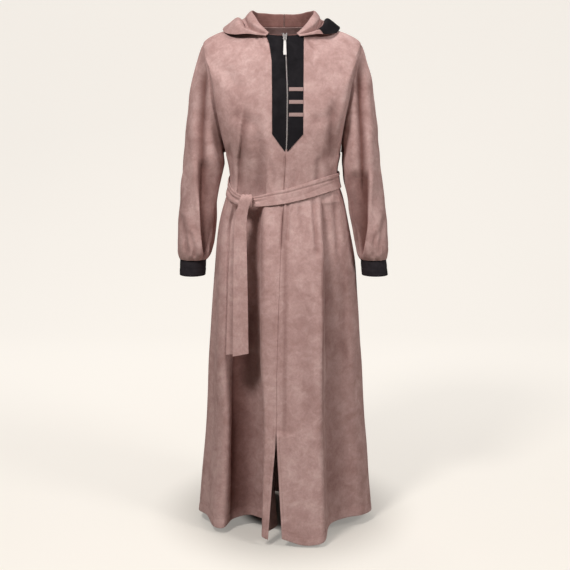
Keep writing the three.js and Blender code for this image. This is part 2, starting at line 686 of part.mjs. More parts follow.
/** One half of the placket, from the neck edge to its point. */
function placketHalf(side) {
  const stops = PLACKET.slice(1).flatMap(
    (row, i) => spread(PLACKET[i].z, row.z, PLACKET_STEPS[i]).slice(i === 0 ? 0 : 1),
  );
  const bottom = PLACKET.at(-1).z;
  const rows = stops.map((z) => spread(0, 1, PLACKET_COLUMNS).map((out) => {
    const { zip, left, right } = placketAt(z);
    const x = mix(zip + side * PLACKET_INSET, side < 0 ? left : right, out);
    const fromTop = (PLACKET[0].z - z) / (PLACKET[0].z - bottom);
    const lowered = neckEdge(x) - PLACKET_DROP - PLACKET[0].z;
    return [x, z + lowered * (1 - fromTop) ** 6];
  }));
  return sewnOn(side < 0 ? rows : flipped(rows), LIFT, TRIM);
}

/** The zip's closed chain between the two halves of the placket. */
function zipChain() {
  const rows = across(ZIP.top, ZIP.bottom, ZIP_ROWS, 2, (z) => {
    const { zip } = placketAt(z);
    return [zip + ZIP.width / 2, zip - ZIP.width / 2];
  });
  return sewnOn(rows, LIFT, ZIP.wall);
}

/** One of the short stripes across the right half of the placket. */
function stripe(index) {
  const top = STRIPE.top - index * STRIPE.pitch;
  const rows = across(top, top - STRIPE.height, 1, 3, () => [STRIPE.to, STRIPE.from]);
  return sewnOn(rows, LIFT + TRIM + SEAM, STRIPE.wall);
}

/** The fractional level of the body's side seam at a height. */
function levelOf(z) {
  const below = LEVELS.findIndex((level) => level.edgeZ < z);
  const [upper, lower] = [LEVELS[below - 1].edgeZ, LEVELS[below].edgeZ];
  return below - 1 + (upper - z) / (upper - lower);
}

/** The belt: one ring round the waist, which passes behind the knot. */
function belt() {
  const ring = [BELT.at(-1), ...BELT, BELT[0], BELT[1]].map((row, i, rows) => {
    const turns = i === 0 ? -1 : Number(i >= rows.length - 2);
    return { ...row, angle: row.angle + 360 * turns };
  });
  const grid = range(BELT_COLUMNS).map((k) => {
    const row = between(ring, 1 + (k * BELT.length) / BELT_COLUMNS);
    return spread(0.5, -0.5, 2).map((share) => {
      const z = row.z + row.width * share;
      const { point, normal } = bodyAt(levelOf(z), row.angle);
      return point.addScaledVector(normal.setZ(0).normalize(), BELT_CLEAR + BELT_WALL).setZ(z);
    });
  });
  const rows = [2, 1, 0].map((across) => grid.map((column) => column[across]));
  return sheet(rows, BELT_WALL, true);
}

/** A hanging tail of the belt. */
function tail(rows, steps) {
  const grid = spread(0, rows.length - 1, steps).map((at) => {
    const row = between(rows, at);
    return spread(1, 0, 3).map((share) => {
      const bow = TAIL_BOW * Math.sin(share * Math.PI);
      return vector(mix(row.left, row.right, share), row.y - bow, row.z);
    });
  });
  return sheet(grid, BELT_WALL);
}

/** A geometry with its positions alone. */
function stripped(geometry) {
  geometry.deleteAttribute('normal');
  geometry.deleteAttribute('uv');
  return geometry;
}

/** A rounded block, fuller than an ellipsoid. */
function roundedBlock(width, height, depth, power) {
  const geometry = mergeVertices(stripped(new THREE.SphereGeometry(1, 16, 10)));
  const place = geometry.attributes.position;
  const full = (value) => Math.sign(value) * Math.abs(value) ** power;
  for (const i of range(place.count)) {
    place.setXYZ(
      i, (full(place.getX(i)) * width) / 2, (-full(place.getZ(i)) * depth) / 2,
      (full(place.getY(i)) * height) / 2,
    );
  }
  return geometry;
}

/** The knot of the belt. */
function knot() {
  return roundedBlock(KNOT.width, KNOT.height, KNOT.depth, 0.7).translate(KNOT.x, KNOT.y, KNOT.z);
}

/** A flat outline with holes, extruded through a thickness and centred on it. */
function plate(outline, thickness, holes = []) {
  const shape = new THREE.Shape(outline.map(([x, y]) => new THREE.Vector2(x, y)));
  for (const hole of holes) {
    shape.holes.push(new THREE.Path(hole.map(([x, y]) => new THREE.Vector2(x, y))));
  }
  const geometry = new THREE.ExtrudeGeometry(shape, { depth: thickness, bevelEnabled: false });
  return mergeVertices(stripped(geometry.translate(0, 0, -thickness / 2)));
}

/** Two closed solids joined in one. */
function joined(first, second) {
  const [a, b] = [first, second].map((geometry) => new wasm.Manifold(new wasm.Mesh({
    numProp: 3,
    vertProperties: geometry.attributes.position.array,
    triVerts: new Uint32Array(geometry.index.array),
  })));
  const { vertProperties, triVerts } = a.add(b).getMesh();
  const geometry = new THREE.BufferGeometry();
  geometry.setAttribute('position', new THREE.BufferAttribute(vertProperties, 3));
  geometry.setIndex(new THREE.BufferAttribute(triVerts, 1));
  geometry.computeVertexNormals();
  return geometry;
}

// The hinge of the pull tab, from the middle of the slider.
const HINGE = { y: -SLIDER.depth / 2 - BAIL.opening / 2 - 0.4, z: -BAIL.below };

/** Turns a plate so that it stands in the plane of y and z, its thickness along x. */
const edgeOn = (geometry) => geometry.rotateY(Math.PI / 2);

/** Turns a plate so that it hangs in the plane of x and z, its thickness along y. */
const hanging = (geometry) => geometry.rotateX(Math.PI / 2);

/** The slider with its bail: z runs up the zip, the cloth is behind it. */
function slider() {
  const top = SLIDER.length / 2;
  const [wide, narrow] = [SLIDER.topWidth / 2, SLIDER.bottomWidth / 2];
  const body = hanging(plate([
    [-narrow, -top], [narrow, -top], [wide, top - SLIDER.notch], [wide, top],
    [wide / 2, top], [0, top - SLIDER.notch],
    [-wide / 2, top], [-wide, top], [-wide, top - SLIDER.notch],
  ], SLIDER.depth));
  const open = BAIL.opening / 2;
  const full = open + BAIL.wall;
  const square = (half) => [[-half, -half], [half, -half], [half, half], [-half, half]];
  const bail = edgeOn(plate(square(full), BAIL.width, [square(open).reverse()]));
  return joined(body, bail.translate(0, HINGE.y, HINGE.z));
}

/** The pull tab with its link, hanging from the hinge at its origin. */
function pull() {
  const half = ([width, z]) => [[width / 2, z], [-width / 2, z]];
  const rim = [
    [LINK.width, LINK.bar / 2], [LINK.width, -LINK.end], [LINK.neckWidth, -LINK.end - 1],
    [LINK.neckWidth, -PULL.top + 1], [PULL.topWidth, -PULL.top],
    [PULL.bottomWidth, 2 - PULL.bottom], [PULL.bottomWidth - 2, -PULL.bottom],
  ].map(half);
  const outline = [...rim.map(([right]) => right), ...rim.map(([, left]) => left).reverse()];
  const [side, end] = [LINK.hole / 2, -LINK.bar / 2];
  const hole = [[-side, end], [side, end], [side, -LINK.holeEnd], [-side, -LINK.holeEnd]];
  return hanging(plate(outline.reverse(), PULL.wall, [hole]));
}

/** Sets a piece made at the slider's place onto the front, leaning back with the cloth. */
function onZip(geometry) {
  const { point, normal } = onFront(placketAt(SLIDER.z).zip, SLIDER.z);
  normal.setX(0).normalize();
  const lean = Math.atan2(normal.z, -normal.y);
  point.addScaledVector(normal, SLIDER_LIFT + SLIDER.depth / 2);
  return geometry.rotateX(-lean).translate(point.x, point.y, point.z);
}

/* ------------------------------------------------------------------ the whole garment */
const abaya = new THREE.Group();

/** Adds a named piece to the garment. */
function add(name, geometry, finish, parent = abaya) {
  const mesh = new THREE.Mesh(geometry, new THREE.MeshStandardMaterial(finish));
  mesh.name = name;
  parent.add(mesh);
  return mesh;
}

add('front_left', bodyPanel('left'), ROSE);
add('front_right', bodyPanel('right'), ROSE);
add('back', bodyPanel('back'), ROSE);
add('sleeve_left', sleeve(-1, LEFT_SLEEVE), ROSE);
add('sleeve_right', sleeve(1, RIGHT_SLEEVE), ROSE);
add('cuff_left', cuff(-1, LEFT_CUFF), BLACK);
add('cuff_right', cuff(1, RIGHT_CUFF), BLACK);
add('placket_left', placketHalf(-1), BLACK);
add('placket_right', placketHalf(1), BLACK);
add('zip_chain', zipChain(), METAL);
for (const index of range(STRIPE.count)) add(`stripe_${index + 1}`, stripe(index), ROSE);
add('hood_left', hoodHalf(HOOD.left), ROSE);
add('hood_right', hoodHalf(HOOD.right), ROSE);
add('hood_facing_left', hoodFacing(HOOD.left, 1, 8, 2, true), BLACK);
add('hood_facing_back', hoodFacing(HOOD.left, 9, 14, 3, false), BLACK);
add('hood_facing_right', hoodFacing(HOOD.right, 3, 14, 3, false), BLACK);
add('belt', belt(), ROSE);
add('belt_knot', knot(), ROSE);
add('belt_tail_front', tail(FRONT_TAIL, 14), ROSE);
add('belt_tail_back', tail(BACK_TAIL, 8), ROSE);

add('zip_slider', onZip(slider()), METAL);
add('zip_pull', onZip(pull().rotateX(PULL.tilt * DEGREE).translate(0, HINGE.y, HINGE.z)), METAL);

export default abaya;
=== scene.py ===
"""A hooded abaya in soft suede cloth, dressed around its fixed frame.

The garment faces -Y and stands along +Z; "left" and "right" are those of someone facing it.
Tables are in millimetres and every mesh is written in metres.
"""
from __future__ import annotations

import logging
import math
from dataclasses import dataclass, field
from enum import Enum

import bpy
import numpy as np
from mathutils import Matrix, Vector
from mathutils.bvhtree import BVHTree


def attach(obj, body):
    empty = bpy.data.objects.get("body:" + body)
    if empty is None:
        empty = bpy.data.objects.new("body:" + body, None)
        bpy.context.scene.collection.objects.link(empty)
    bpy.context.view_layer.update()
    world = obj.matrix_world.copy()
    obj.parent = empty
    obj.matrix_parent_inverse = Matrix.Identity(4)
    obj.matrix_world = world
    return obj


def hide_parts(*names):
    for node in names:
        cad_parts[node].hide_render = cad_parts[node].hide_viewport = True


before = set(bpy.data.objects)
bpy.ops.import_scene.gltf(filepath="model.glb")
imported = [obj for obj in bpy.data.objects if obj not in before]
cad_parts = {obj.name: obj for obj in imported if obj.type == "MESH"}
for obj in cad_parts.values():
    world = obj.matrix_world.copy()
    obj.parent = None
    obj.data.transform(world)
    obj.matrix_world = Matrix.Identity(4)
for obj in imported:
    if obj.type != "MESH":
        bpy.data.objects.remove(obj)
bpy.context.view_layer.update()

logging.basicConfig(level=logging.INFO, format="%(name)s: %(message)s")
log = logging.getLogger("abaya")

MM = 0.001
BODY = "garment"
Grid = np.ndarray


# ------------------------------------------------------------------ small helpers
class Side(Enum):
    """The two sides of the garment, seen from its front."""

    LEFT = -1
    RIGHT = 1

    @property
    def word(self) -> str:
        """The side's word in piece names."""
        return self.name.lower()


class Facing(Enum):
    """The way that a crease looks, which picks the cloth that it marks."""

    FRONT = (0, -1, 0)
    BACK = (0, 1, 0)
    LEFT = (-1, 0, 0)
    RIGHT = (1, 0, 0)

    @property
    def axes(self) -> tuple[int, int]:
        """The two axes in which a crease that faces this way is drawn."""
        return (0, 2) if self.value[0] == 0 else (1, 2)


def mix(a: float, b: float, share: float) -> float:
    """A value between two others."""
    return a + (b - a) * share


def clamp(value: float, low: float, high: float) -> float:
    """A value kept between two limits."""
    return min(high, max(low, value))


def unit(vectors: Grid) -> Grid:
    """Vectors at length one."""
    length = np.linalg.norm(vectors, axis=-1, keepdims=True)
    return vectors / np.maximum(length, 1e-9)


class Table:
    """Rows of sizes under named columns, read smoothly at a fractional row."""

    def __init__(self, heading: str, rows: list[tuple[float, ...]]) -> None:
        """Keeps the rows.

        Args:
            heading: The names of the columns, parted by spaces.
            rows: One tuple of numbers for each row.
        """
        self.names = heading.split()
        self.values = np.array(rows, dtype=float)

    def __len__(self) -> int:
        """The number of rows."""
        return len(self.values)

    def column(self, name: str) -> Grid:
        """One column of the table."""
        return self.values[:, self.names.index(name)]

    def at(self, position: float) -> dict[str, float]:
        """All columns at a fractional row.

        Args:
            position: The row, 0 for the first.

        Returns:
            The value of each column.
        """
        last = len(self.values) - 1
        i = int(clamp(math.floor(position), 0, last - 1))
        a, b, c, d = (self.values[int(clamp(k, 0, last))] for k in range(i - 1, i + 3))
        t = position - i
        rise, next_rise = (c - a) / 2, (d - b) / 2
        row = (
            b + rise * t
            + (3 * (c - b) - 2 * rise - next_rise) * t * t
            + (2 * (b - c) + rise + next_rise) * t**3
        )
        return dict(zip(self.names, row.tolist()))


def through(points: Grid, closed: bool, steps: list[int]) -> Grid:
    """Points on a smooth curve through some points.

    Args:
        points: The points that the curve passes.
        closed: Whether the curve comes back to its start.
        steps: The number of steps in each span.

    Returns:
        The points, each span's start among them, and the end of an open curve.
    """
    points = np.asarray(points, dtype=float)
    count = len(points)
    spans = count if closed else count - 1
    parts = []
    for i in range(spans):
        p1, p2 = points[i], points[(i + 1) % count]
        p0 = points[i - 1] if i > 0 or closed else 2 * points[0] - points[1]
        p3 = points[(i + 2) % count] if i + 2 < count or closed else 2 * points[-1] - points[-2]
        gaps = [float(((b - a) ** 2).sum()) ** 0.25 for a, b in ((p0, p1), (p1, p2), (p2, p3))]
        g1 = gaps[1] if gaps[1] >= 1e-4 else 1.0
        g0 = gaps[0] if gaps[0] >= 1e-4 else g1
        g2 = gaps[2] if gaps[2] >= 1e-4 else g1
        t1 = ((p1 - p0) / g0 - (p2 - p0) / (g0 + g1) + (p2 - p1) / g1) * g1
        t2 = ((p2 - p1) / g1 - (p3 - p1) / (g1 + g2) + (p3 - p2) / g2) * g1
        t = (np.arange(steps[i]) / steps[i])[:, None]
        square = -3 * p1 + 3 * p2 - 2 * t1 - t2
        cube = 2 * p1 - 2 * p2 + t1 + t2
        parts.append(p1 + t1 * t + square * t * t + cube * t**3)
    if not closed:
        parts.append(points[-1:])
    return np.concatenate(parts)


def grid_normals(grid: Grid, loop: bool = False) -> Grid:
    """Outward normals of a grid whose columns run round and whose rows run down.

    Args:
        grid: Points, rows by columns.
        loop: Whether the columns close on themselves.

    Returns:
        One unit vector for each point.
    """
    if loop:
        across = np.roll(grid, -1, 1) - np.roll(grid, 1, 1)
    else:
        across = np.gradient(grid, axis=1)
    down = np.gradient(grid, axis=0)
    return unit(np.cross(across, down))


def waves(points: Grid, lengths: tuple[float, ...], seed: int) -> Grid:
    """A soft unevenness in space, between about -1 and 1.

    Args:
        points: Where it is read, in millimetres.
        lengths: The wave lengths that it is made of.
        seed: The number that fixes its random directions.

    Returns:
        One value for each point.
    """
    chance = np.random.default_rng(seed)
    total = np.zeros(points.shape[:-1])
    for length in lengths:
        for _ in range(3):
            way = unit(chance.normal(size=3))
            shift = chance.uniform(0, 2 * math.pi)
            total += np.sin(points @ way * (2 * math.pi / length) + shift)
    return total / (2.2 * len(lengths))


# ------------------------------------------------------------------ creases
# Depth of a fold, in millimetres, that gets the full painted shade in its colour.
FULL_PAINTED_SHADE = 12
# Millimetres over which the cloth of a lap falls, and how far back its lip is and how wide.
LAP_FALL = 3
LAP_LIP_BACK, LAP_LIP_WIDTH = 6, 7
# Where the lip of any other fold is and how wide it is, for each millimetre of the fold's width.
LIP_OFF, LIP_WIDTH = 1.9, 1.1


@dataclass(frozen=True)
class Crease:
    """One fold line pressed into the cloth.

    Attributes:
        path: Its points in the two axes of its facing, in millimetres.
        width: How wide its groove is.
        depth: How deep its groove lies; below nought it is a ridge.
        lip: The height of the soft roll beside it, on the side that bend picks.
        bend: 1 or -1 for the side of the roll, 0 for both.
        facing: Which cloth it marks.
        fade: The share of its length over which each end dies away.
        lap: Whether the cloth falls at once beside its roll and rises slowly after it.
        painted_shade: How dark the shade painted into the colour along it is, from 0 to 1; by its
            depth where not given.
    """

    path: tuple[tuple[float, float], ...]
    width: float
    depth: float
    lip: float = 0.0
    bend: int = 0
    facing: Facing = Facing.FRONT
    fade: float = 0.25
    lap: bool = False
    painted_shade: float | None = None

    def profile(self, distance: Grid, signed: Grid) -> tuple[Grid, Grid]:
        """The cloth across the line, before its ends die away.

        Args:
            distance: How far each point is from the line.
            signed: The same, below nought on one side of it.

        Returns:
            Its height in millimetres, outward above nought, and its painted shade.
        """
        painted_shade = self.painted_shade
        if painted_shade is None:
            painted_shade = min(max(self.depth, 0) / FULL_PAINTED_SHADE, 1)
        if self.lap:
            beyond = -signed * self.bend
            fall = np.clip((beyond + LAP_FALL / 2) / LAP_FALL, 0, 1)
            fall = fall * fall * (3 - 2 * fall)
            rise = np.exp(-((np.maximum(beyond, 0) / self.width) ** 2))
            lip = self.lip * np.exp(-(((beyond + LAP_LIP_BACK) / LAP_LIP_WIDTH) ** 2))
            return lip - self.depth * fall * rise, painted_shade * fall * rise
        valley = np.exp(-((distance / self.width) ** 2))
        height = -self.depth * valley
        for way in (1, -1):
            if self.bend in (0, way):
                off = (signed - way * LIP_OFF * self.width) / (LIP_WIDTH * self.width)
                height = height + self.lip * np.exp(-(off**2))
        return height, painted_shade * valley

    def amount(self, points: Grid, normals: Grid) -> tuple[Grid, Grid]:
        """What the crease does to each point.

        Args:
            points: The cloth's points.
            normals: The cloth's normals.

        Returns:
            Millimetres along its normal, and its painted shade.
        """
        first, second = self.facing.axes
        place = np.stack([points[..., first], points[..., second]], -1)
        stops = np.array(self.path, dtype=float)
        lengths = np.linalg.norm(np.diff(stops, axis=0), axis=1)
        whole = lengths.sum()
        best = np.full(place.shape[:-1], 1e9)
        signed = np.zeros_like(best)
        along = np.zeros_like(best)
        walked = 0.0
        for start, end, length in zip(stops[:-1], stops[1:], lengths):
            way = (end - start) / length
            offset = place - start
            raw = offset @ way
            run = np.clip(raw, 0, length)
            near = offset - run[..., None] * way
            distance = np.linalg.norm(near, axis=-1)
            side = offset[..., 0] * way[1] - offset[..., 1] * way[0]
            closer = distance < best
            best = np.where(closer, distance, best)
            signed = np.where(closer, np.sign(side) * distance, signed)
            along = np.where(closer, (walked + run) / whole, along)
            walked += length
        ends = np.minimum(along, 1 - along) / max(self.fade, 1e-3)
        window = np.clip(ends, 0, 1)
        window = window * window * (3 - 2 * window)
        looks = np.clip(normals @ np.array(self.facing.value, dtype=float), 0, 1)
        mask = window * np.clip(looks * 2.5, 0, 1)
        height, dark = self.profile(best, signed)
        return height * mask, dark * mask


def creased(points: Grid, normals: Grid, creases: list[Crease]) -> tuple[Grid, Grid]:
    """What some creases do to a grid together.

    Args:
        points: The cloth's points.
        normals: The cloth's normals.
        creases: The creases.

    Returns:
        Millimetres along the normals, and the painted shade in the colour.
    """
    total = np.zeros(points.shape[:-1])
    plain = np.ones(points.shape[:-1])
    for crease in creases:
        height, dark = crease.amount(points, normals)
        total += height
        plain *= 1 - dark
    return total, 1 - plain


# ------------------------------------------------------------------ cloth as a thin shell
ROLL_AT = ((0.0, 1.0), (0.3, 0.5), (0.8, 0.17), (1.7, 0.0))


@dataclass
class Cloth:
    """A sewn piece as the grid of its visible face.

    Attributes:
        points: Its visible face, rows by columns, in millimetres.
        normals: Its outward normals.
        loop: Whether its columns close on themselves.
        sink: How far each point lies below the face, where an edge is rolled.
        dark: How much shade is painted into its colour, from 0 to 1.
    """

    points: Grid
    normals: Grid
    loop: bool = False
    sink: Grid = field(init=False)
    dark: Grid = field(init=False)

    def __post_init__(self) -> None:
        """Starts with edges that aren't rolled and no painted shade."""
        self.sink = np.zeros(self.points.shape[:-1])
        self.dark = np.zeros(self.points.shape[:-1])

    def push(self, amount: Grid) -> None:
        """Moves each point along its normal."""
        self.points = self.points + self.normals * amount[..., None]

    def roll_edge(self, axis: int, end: int, depth: float) -> None:
        """Rolls one edge inward, so that a seam reads as a groove.

        Args:
            axis: 0 for a top or bottom edge, 1 for an edge at a side.
            end: 0 for the first row or column, -1 for the last.
            depth: How far the very edge lies below the face.
        """
        held = (self.points, self.normals, self.sink, self.dark)
        parts = [np.moveaxis(a, axis, 0) for a in held]
        if end == -1:
            parts = [a[::-1] for a in parts]
        points, normals, sink, dark = parts
        step = np.linalg.norm(points[1] - points[0], axis=-1)
        added: list[list[Grid]] = [[], [], [], []]
        for k, (distance, share) in enumerate(ROLL_AT):
            f = np.minimum(distance / np.maximum(step, 1e-6), k * 0.24)[..., None]
            added[0].append(points[0] + (points[1] - points[0]) * f)
            added[1].append(unit(normals[0] + (normals[1] - normals[0]) * f))
            deeper = np.maximum(sink[0] + (sink[1] - sink[0]) * f[..., 0], depth * share)
            added[2].append(deeper)
            added[3].append(dark[0] + (dark[1] - dark[0]) * f[..., 0])
        parts = [np.concatenate([np.stack(new), a[1:]]) for new, a in zip(added, parts)]
        if end == -1:
            parts = [a[::-1] for a in parts]
        self.points, self.normals, self.sink, self.dark = (
            np.moveaxis(a, 0, axis) for a in parts
        )

    def roll_all(self, depth: float) -> None:
        """Rolls every open edge."""
        for axis in (0,) if self.loop else (0, 1):
            for end in (0, -1):
                self.roll_edge(axis, end, depth)

    def row_uv(self) -> Grid:
        """Distances along and down the cloth from its middle, in metres."""
        across = np.linalg.norm(np.diff(self.points, axis=1), axis=-1)
        down = np.linalg.norm(np.diff(self.points, axis=0), axis=-1)
        u = np.pad(np.cumsum(across, axis=1), ((0, 0), (1, 0)))
        v = np.pad(np.cumsum(down, axis=0), ((1, 0), (0, 0)))
        middle = u[:, u.shape[1] // 2][:, None]
        return np.stack([u - middle, v], -1) * MM

    def solid(self, name: str, thickness: float) -> bpy.types.Object:
        """The cloth as a closed mesh with a wall behind its visible face.

        Args:
            name: The name of the piece.
            thickness: The wall in millimetres.

        Returns:
            The finished object, smooth shaded, with a UV map in metres.
        """
        rows, columns = self.points.shape[:2]
        outer = self.points - self.normals * self.sink[..., None]
        behind = thickness - 0.25 * np.minimum(self.sink, thickness)
        inner = self.points - self.normals * behind[..., None]
        size = rows * columns
        vertices = np.concatenate([outer.reshape(-1, 3), inner.reshape(-1, 3)]) * MM
        index = np.arange(size).reshape(rows, columns)
        if self.loop:
            index = np.concatenate([index, index[:, :1]], 1)
        a, b, c, d = index[:-1, :-1], index[:-1, 1:], index[1:, 1:], index[1:, :-1]
        faces = [np.stack([a, b, c, d], -1).reshape(-1, 4)]
        faces.append(np.stack([a, d, c, b], -1).reshape(-1, 4) + size)
        top, low = index[0], index[-1]
        faces.append(np.stack([top[:-1], top[:-1] + size, top[1:] + size, top[1:]], -1))
        faces.append(np.stack([low[:-1], low[1:], low[1:] + size, low[:-1] + size], -1))
        if not self.loop:
            first, last = index[:, 0], index[:, -1]
            faces.append(np.stack([first[:-1], first[1:], first[1:] + size, first[:-1] + size], -1))
            faces.append(np.stack([last[:-1], last[:-1] + size, last[1:] + size, last[1:]], -1))
        quads = np.concatenate(faces)
        flat = self.row_uv().reshape(-1, 2)
        piece = mesh_object(name, vertices, quads, np.concatenate([flat, flat]))
        # Each point carries its painted shade, which the material uses to darken the colour.
        painted_shade = piece.data.attributes.new("painted_shade", "FLOAT", "POINT")
        values = np.tile(self.dark.reshape(-1), 2).astype(np.float32)
        painted_shade.data.foreach_set("value", values)
        return piece


def mesh_object(name: str, vertices: Grid, faces: Grid, uv: Grid | None = None) -> bpy.types.Object:
    """A mesh object at the origin, smooth shaded.

    Args:
        name: The object's name.
        vertices: Points in metres.
        faces: Rows of vertex numbers.
        uv: A place on the cloth for each vertex, if it has one.

    Returns:
        The object, linked to the scene.
    """
    mesh = bpy.data.meshes.new(name)
    mesh.from_pydata(vertices.tolist(), [], faces.tolist())
    if uv is not None:
        corners = np.zeros(len(mesh.loops), dtype=np.int32)
        mesh.loops.foreach_get("vertex_index", corners)
        layer = mesh.uv_layers.new(name="cloth")
        layer.data.foreach_set("uv", uv[corners].astype(np.float32).ravel())
    mesh.polygons.foreach_set("use_smooth", np.ones(len(mesh.polygons), dtype=bool))
    mesh.update()
    piece = bpy.data.objects.new(name, mesh)
    bpy.context.scene.collection.objects.link(piece)
    return piece


class Hold(Enum):
    """How a cut of cloth is held, in the frame's words."""

    HUNG = "hung"
    GATHERED = "gathered"
    FOLDED = "folded"
    STRETCHED = "stretched"


@dataclass(frozen=True)
class Cut:
    """The flat size of a piece of cloth before it was sewn.

    Attributes:
        width: Across the cut, in metres.
        length: Down the cut, in metres.
        area: What remains of that rectangle, in square metres.
        held: How the cloth is held now.
        rests_on: The nodes that it hangs from or lies on.
    """

    width: float
    length: float
    area: float
    held: Hold
    rests_on: tuple[str, ...] = ()


def dress(
    piece: bpy.types.Object,
    finish: bpy.types.Material,
    nodes: tuple[str, ...] = (),
    body: str = BODY,
) -> bpy.types.Object:
    """Gives a piece its finish and its place in the frame.

    Args:
        piece: The finished mesh object.
        finish: Its material.
        nodes: The nodes that it stands for.
        body: The body that it rides on.

    Returns:
        The same piece.
    """
    if not piece.data.materials:
        piece.data.materials.append(finish)
    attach(piece, body)
    if nodes:
        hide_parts(*nodes)
    layers = sum(face.area for face in piece.data.polygons) / 2
    log.info("%s: %d faces, %.4f square metres", piece.name, len(piece.data.polygons), layers)
    return piece


# ------------------------------------------------------------------ finishes
def colour(red: int, green: int, blue: int) -> tuple[float, float, float, float]:
    """A linear colour from its usual values of 0 to 255."""
    values = [c / 255 for c in (red, green, blue)]
    linear = [c / 12.92 if c <= 0.04045 else ((c + 0.055) / 1.055) ** 2.4 for c in values]
    return (linear[0], linear[1], linear[2], 1.0)


class Tree:
    """A node tree under construction, with short ways to add and join nodes."""

    def __init__(self, tree: bpy.types.NodeTree) -> None:
        """Works on a tree."""
        self.tree = tree
        self.count = 0

    def add(self, kind: str, **settings: object) -> bpy.types.Node:
        """Adds a node.

        Args:
            kind: The node's type.
            **settings: Its properties, or values of its inputs under their name or number.

        Returns:
            The node.
        """
        node = self.tree.nodes.new(kind)
        node.location = (self.count % 6 * 190, -(self.count // 6) * 220)
        self.count += 1
        for name, value in settings.items():
            setattr(node, name, value)
        return node

    def link(self, start: bpy.types.NodeSocket, end: bpy.types.NodeSocket) -> None:
        """Joins an output to an input."""
        self.tree.links.new(start, end)

    def socket(self, name: str, kind: str, output: bool = False, value: object = None) -> None:
        """Adds a named socket to a group's face."""
        way = "OUTPUT" if output else "INPUT"
        made = self.tree.interface.new_socket(name=name, in_out=way, socket_type=kind)
        if value is not None:
            made.default_value = value


def patches_group() -> bpy.types.NodeTree:
    """Soft patches where the nap of the suede lies one way or the other."""
    group = bpy.data.node_groups.new("suede_patches", "ShaderNodeTree")
    t = Tree(group)
    t.socket("Patch", "NodeSocketFloat", value=0.03)
    t.socket("Blotch", "NodeSocketFloat", value=0.11)
    t.socket("Light", "NodeSocketColor")
    t.socket("Middle", "NodeSocketColor")
    t.socket("Dark", "NodeSocketColor")
    t.socket("Colour", "NodeSocketColor", output=True)
    t.socket("Mask", "NodeSocketFloat", output=True)
    inside = t.add("NodeGroupInput")
    outside = t.add("NodeGroupOutput")
    place = t.add("ShaderNodeTexCoord")
    noises = []
    for size, detail in (("Patch", 4.0), ("Blotch", 2.0)):
        scale = t.add("ShaderNodeMath", operation="DIVIDE")
        scale.inputs[0].default_value = 1.0
        t.link(inside.outputs[size], scale.inputs[1])
        noise = t.add("ShaderNodeTexNoise")
        noise.inputs["Detail"].default_value = detail
        noise.inputs["Roughness"].default_value = 0.62
        noise.inputs["Distortion"].default_value = 0.6
        t.link(place.outputs["Object"], noise.inputs["Vector"])
        t.link(scale.outputs[0], noise.inputs["Scale"])
        noises.append(noise)
    both = t.add("ShaderNodeMix", data_type="FLOAT")
    both.inputs["Factor"].default_value = 0.38
    t.link(noises[0].outputs["Fac"], both.inputs[2])
    t.link(noises[1].outputs["Fac"], both.inputs[3])
    spread = t.add("ShaderNodeMapRange")
    spread.inputs["From Min"].default_value = 0.34
    spread.inputs["From Max"].default_value = 0.66
    t.link(both.outputs[0], spread.inputs["Value"])
    low = t.add("ShaderNodeMapRange")
    low.inputs["From Max"].default_value = 0.5
    high = t.add("ShaderNodeMapRange")
    high.inputs["From Min"].default_value = 0.5
    t.link(spread.outputs[0], low.inputs["Value"])
    t.link(spread.outputs[0], high.inputs["Value"])
    under = t.add("ShaderNodeMix", data_type="RGBA")
    over = t.add("ShaderNodeMix", data_type="RGBA")
    t.link(low.outputs[0], under.inputs["Factor"])
    t.link(inside.outputs["Dark"], under.inputs[6])
    t.link(inside.outputs["Middle"], under.inputs[7])
    t.link(high.outputs[0], over.inputs["Factor"])
    t.link(under.outputs[2], over.inputs[6])
    t.link(inside.outputs["Light"], over.inputs[7])
    t.link(over.outputs[2], outside.inputs["Colour"])
    t.link(spread.outputs[0], outside.inputs["Mask"])
    return group


def nap_group() -> bpy.types.NodeTree:
    """Fine short fibres as a height and as a little change of value."""
    group = bpy.data.node_groups.new("short_nap", "ShaderNodeTree")
    t = Tree(group)
    t.socket("Fibre", "NodeSocketFloat", value=0.0012)
    t.socket("Height", "NodeSocketFloat", output=True)
    inside = t.add("NodeGroupInput")
    outside = t.add("NodeGroupOutput")
    place = t.add("ShaderNodeTexCoord")
    scale = t.add("ShaderNodeMath", operation="DIVIDE")
    scale.inputs[0].default_value = 1.0
    t.link(inside.outputs["Fibre"], scale.inputs[1])
    fine = t.add("ShaderNodeTexNoise")
    fine.inputs["Detail"].default_value = 3.0
    fine.inputs["Roughness"].default_value = 0.7
    t.link(place.outputs["Object"], fine.inputs["Vector"])
    t.link(scale.outputs[0], fine.inputs["Scale"])
    pebble = t.add("ShaderNodeTexNoise")
    pebble.inputs["Scale"].default_value = 160.0
    pebble.inputs["Detail"].default_value = 2.0
    t.link(place.outputs["Object"], pebble.inputs["Vector"])
    both = t.add("ShaderNodeMix", data_type="FLOAT")
    both.inputs["Factor"].default_value = 0.4
    t.link(fine.outputs["Fac"], both.inputs[2])
    t.link(pebble.outputs["Fac"], both.inputs[3])
    t.link(both.outputs[0], outside.inputs["Height"])
    return group


